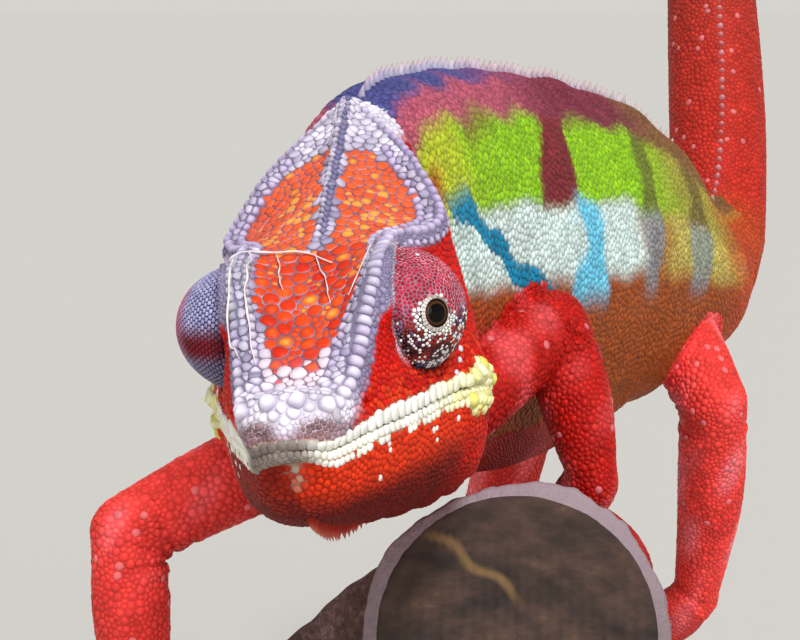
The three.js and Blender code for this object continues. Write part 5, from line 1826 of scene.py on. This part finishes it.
def log_shell():
    """A rough round log: radius plus long ridges, lumps and bark, a little rounded at both cut ends."""
    length = np.linspace(0, LOG_LENGTH, LOG_RINGS)
    a = TAU * np.arange(LOG_SIDES) / LOG_SIDES
    grid_l, grid_a = np.meshgrid(length, a, indexing="ij")
    out = LOG_SIDE * np.sin(grid_a)[..., None] + LOG_UP * np.cos(grid_a)[..., None]
    base = LOG_START + LOG_ALONG * grid_l[..., None]
    flat = np.stack([grid_l * 0.3, np.sin(grid_a) * 20, np.cos(grid_a) * 20], -1).reshape(-1, 3)
    rough = 0.2 * wave_noise(flat, 5, 11) + 0.14 * wave_noise(flat, 2, 12) + 0.08 * wave_noise(flat, 0.9, 13)
    lumps = 0.35 * np.sin(3 * grid_a + grid_l * 0.05) + 0.25 * np.sin(5 * grid_a - grid_l * 0.08)
    radius = log_radius(grid_l) + lumps - 0.45 + rough.reshape(grid_l.shape) * 0.9
    radius -= 0.6 * bump(grid_l, 0, 0.8) + 0.6 * bump(grid_l, LOG_LENGTH, 0.8)
    return shell(base + out * radius[..., None])


def branch_shell():
    """The side branch: rings along its curve, swollen at the root, the radius roughened by noise."""
    t = np.linspace(0, 1, BRANCH_RINGS)
    at = branch_point(t)
    _, side, up = branch_axes(t)
    radius = BRANCH_RADIUS + BRANCH_ROOT_SWELL * np.maximum(0, 1 - t / 0.7) - 0.25
    a = TAU * np.arange(BRANCH_SIDES) / BRANCH_SIDES
    out = side[:, None] * np.sin(a)[:, None] + up[:, None] * np.cos(a)[:, None]
    flat = np.stack([np.repeat(t * 25, BRANCH_SIDES), out[..., 0].ravel() * 8, out[..., 1].ravel() * 8], 1)
    rough = 0.3 * wave_noise(flat, 3.2, 21) + 0.14 * wave_noise(flat, 1.2, 22)
    return shell(at[:, None] + out * (radius[:, None] + rough.reshape(out.shape[:2]))[..., None])


def cut_face(middle, normal, side, radius):
    """A sawn disc: rings and saw marks raised by fractions of a millimetre, its edge sunk under the bark."""
    up = np.cross(side, normal)
    share = np.linspace(0.01, 1, DISC_RINGS)
    a = TAU * np.arange(DISC_SIDES) / DISC_SIDES
    r = radius * share[:, None] + 0 * a
    x, y = r * np.cos(a), r * np.sin(a)
    flat = np.stack([x, y, 0 * x], -1).reshape(-1, 3)
    high = 0.25 + 0.05 * np.sin(x * 4.5) + 0.08 * wave_noise(flat, 2.0, 41).reshape(x.shape)
    high = high - 0.7 * step(0.97, 1.0, share)[:, None]
    place = middle + side * x[..., None] + up * y[..., None] + normal * high[..., None]
    place = place.reshape(-1, 3)
    # an old split: a wavy ochre line across the upper part
    along = x * 0.82 + y * 0.57
    across = x * 0.57 - y * 0.82 - 4.2 - 0.5 * np.sin(along * 0.8)
    split = step(0.9, 0.2, np.abs(across)) * step(-19, -15, along) * step(-1, -5, along)
    rings = np.stack([r / RING_SPAN, 0.6 * split, 0 * r], -1)
    return place, ring_faces(place, DISC_RINGS, DISC_SIDES, normal), rings.reshape(-1, 3)


def bark_material():
    """Thin smooth bark, weathered: lilac-pink film over brown, paler on top by the front cut as painted
    light, long fine cracks, dull.
    """
    material, tree, shader = new_material("weathered_bark", Roughness=0.8)
    place = add(tree, "ShaderNodeTexCoord")
    on_place, lie = [("Vector", place, "Object")], (LOG_DROP, 0, LOG_YAW)
    turn = add(tree, "ShaderNodeMapping", on_place, in_Rotation=lie, in_Scale=(1, 0.3, 1))
    on_turn = [("Vector", turn, 0)]
    broad = add(tree, "ShaderNodeTexNoise", on_turn, in_Scale=150, in_Detail=7, in_Roughness=0.75)
    fine = add(tree, "ShaderNodeTexNoise", on_turn, in_Scale=1200, in_Detail=5, in_Roughness=0.7)
    blend = add(tree, "ShaderNodeMix", [(2, broad, "Fac"), (3, fine, "Fac")], in_0=0.45)
    tones = add(tree, "ShaderNodeValToRGB", [("Fac", blend, 0)])
    colour_ramp(tones.color_ramp, (0.34, "30201a"), (0.47, "4e3630"), (0.57, "6c504c"), (0.68, "927a80"))
    marks = add(tree, "ShaderNodeAttribute", attribute_name="Markings")
    film = add(tree, "ShaderNodeSeparateColor", [(0, marks, "Color")])
    skinned = add(tree, "ShaderNodeMix", [(0, film, 0), (6, tones, 0)], data_type="RGBA", in_7=rgba("9a8890"))
    tree.links.new(skinned.outputs[2], shader.inputs["Base Color"])
    relief = add(tree, "ShaderNodeBump", [("Height", blend, 0)], in_Strength=0.9, in_Distance=0.0007)
    tree.links.new(relief.outputs[0], shader.inputs["Normal"])
    return material


def sawn_material():
    """Sawn end grain, old and grey-brown: growth rings as a sine of the distance out, ochre in the split."""
    material, tree, shader = new_material("sawn_end_grain", Roughness=0.85)
    marks = add(tree, "ShaderNodeAttribute", attribute_name="Markings")
    parts = add(tree, "ShaderNodeSeparateColor", [(0, marks, "Color")])
    on_place = [("Vector", add(tree, "ShaderNodeTexCoord"), "Object")]
    bend = add(tree, "ShaderNodeTexNoise", on_place, in_Scale=60, in_Detail=3)
    both = [(0, bend, "Fac"), (2, parts, 0)]
    shift = add(tree, "ShaderNodeMath", both, operation="MULTIPLY_ADD", in_1=0.12)
    waves = TAU * RING_SPAN / GROWTH_RING
    wave = add(tree, "ShaderNodeMath", [(0, shift, 0)], operation="MULTIPLY", in_1=waves)
    rings = add(tree, "ShaderNodeMath", [(0, wave, 0)], operation="SINE")
    lean = (0, math.radians(38), 0)
    slant = add(tree, "ShaderNodeMapping", on_place, in_Rotation=lean, in_Scale=(0.5, 1, 1))
    on_slant = [("Vector", slant, 0)]
    streak = add(tree, "ShaderNodeTexNoise", on_slant, in_Scale=190, in_Detail=6, in_Roughness=0.65)
    both = [(0, rings, 0), (2, streak, "Fac")]
    grain = add(tree, "ShaderNodeMath", both, operation="MULTIPLY_ADD", in_1=0.018)
    tones = add(tree, "ShaderNodeValToRGB", [("Fac", grain, 0)])
    colour_ramp(tones.color_ramp, (0.32, "1c120e"), (0.46, "33231c"), (0.6, "49342a"), (0.78, "7c5c3a"))
    split = add(tree, "ShaderNodeMix", [(0, parts, 1), (6, tones, 0)], data_type="RGBA", in_7=rgba("86673c"))
    tree.links.new(split.outputs[2], shader.inputs["Base Color"])
    relief = add(tree, "ShaderNodeBump", [("Height", grain, 0)], in_Strength=0.8, in_Distance=0.0005)
    tree.links.new(relief.outputs[0], shader.inputs["Normal"])
    return material


wood, wood_faces = join([log_shell(), branch_shell()])
# Pale film where the bark is weathered, all round the front cut; it is made paler towards the log's top as
# painted light.
from_cut = wood - LOG_START
film = step(5, 1, from_cut @ LOG_ALONG) * (0.6 + 0.4 * np.clip(from_cut @ LOG_UP / LOG_RADII[0], -1, 1))
film = np.stack([film, 0 * film, 0 * film], 1)
bark = new_mesh("perch_bark", wood, wood_faces, film)
new_piece("perch_bark", bark, bark_material(), "perch_wood", "perch")
branch_end, (branch_along, branch_side, _) = branch_point(1.0), branch_axes(1.0)
discs = [
    cut_face(LOG_START, -LOG_ALONG, LOG_SIDE, LOG_RADII[0] - BARK_THICK),
    cut_face(LOG_START + LOG_ALONG * LOG_LENGTH, LOG_ALONG, LOG_SIDE, LOG_RADII[1] - BARK_THICK),
    cut_face(branch_end, branch_along, branch_side, BRANCH_RADIUS - BARK_THICK * 0.6),
]
points, faces = join([disc[:2] for disc in discs])
sawn = new_mesh("perch_cut_faces", points, faces, np.concatenate([disc[2] for disc in discs]))
new_piece("perch_cut_faces", sawn, sawn_material(), "perch_wood")


# ---------------------------------------- the stand
def rod_material():
    """Turned steel rod: satin, with fine rings."""
    steel = rgba("b9babc")
    material, tree, shader = new_material("brushed_steel", Metallic=1.0, Roughness=0.32, Base_Color=steel)
    place = add(tree, "ShaderNodeTexCoord")
    turn = add(tree, "ShaderNodeMapping", [("Vector", place, "Object")], in_Scale=(0.1, 0.1, 1))
    noise = add(tree, "ShaderNodeTexNoise", [("Vector", turn, 0)], in_Scale=4000, in_Detail=2)
    relief = add(tree, "ShaderNodeBump", [("Height", noise, "Fac")], in_Strength=0.25, in_Distance=0.00005)
    tree.links.new(relief.outputs[0], shader.inputs["Normal"])
    return material


# Painted board: a warm light grey, matt, with faint brush marks along it, 0.1 mm deep.
BOARD = two_toned("painted_board", "c9c5bd", "dad6cf", 900, 4, (1, 0.08, 1), 0.1 * MM, Roughness=0.55)
STAND_FINISH = {"stand_base": BOARD, "stand_rod": rod_material()}
for node in bpy.data.objects:
    for start, finish in STAND_FINISH.items():
        if node.name.startswith(start):
            node.data.materials.clear()
            node.data.materials.append(finish)


# ---------------------------------------- floor and light
FLOOR_HALF = 80
corners = [(x * FLOOR_HALF, y * FLOOR_HALF, 0) for x, y in ((-1, -1), (1, -1), (1, 1), (-1, 1))]
floor_mesh = bpy.data.meshes.new("floor")
floor_mesh.from_pydata(corners, [], [(0, 1, 2, 3)])
floor = bpy.data.objects.new("floor", floor_mesh)
bpy.context.collection.objects.link(floor)
# Pale studio paper: matt and even.
paper, _, _ = new_material("studio_paper", Roughness=0.9, Base_Color=rgba("c4c2be"), Specular_IOR_Level=0.2)
floor_mesh.materials.append(paper)

HORIZON, OVERHEAD = 0.665, 0.36
world = bpy.data.worlds.new("studio")
world.use_nodes = True
sky = world.node_tree
way = add(sky, "ShaderNodeTexCoord")
height = add(sky, "ShaderNodeSeparateXYZ", [(0, way, "Generated")])
# Pale at the horizon, like the floor, and dimmer overhead, so that the lamps model the form.
by_height = [("Value", height, "Z")]
band = add(sky, "ShaderNodeMapRange", by_height, in_1=0.03, in_2=0.25, in_3=HORIZON, in_4=OVERHEAD)
sky.nodes["Background"].inputs["Color"].default_value = (1.0, 0.982, 0.925, 1)
sky.links.new(band.outputs[0], sky.nodes["Background"].inputs["Strength"])
bpy.context.scene.world = world


def soft_sun(name, elevation, azimuth, width, strength):
    """A far soft lamp, width degrees across; at azimuth 0 it shines from behind the camera."""
    lamp = bpy.data.lights.new(name, "SUN")
    lamp.angle = math.radians(width)
    lamp.energy = strength
    sun = bpy.data.objects.new(name, lamp)
    sun.rotation_euler = (math.radians(90 - elevation), 0, math.radians(azimuth))
    bpy.context.collection.objects.link(sun)


LAMPS = (("key", 56, 24, 16, 2.6), ("front", 16, 14, 40, 1.1), ("fill", 28, -60, 50, 0.35))
for settings in LAMPS:
    soft_sun(*settings)
bpy.context.scene.view_settings.view_transform = "Standard"
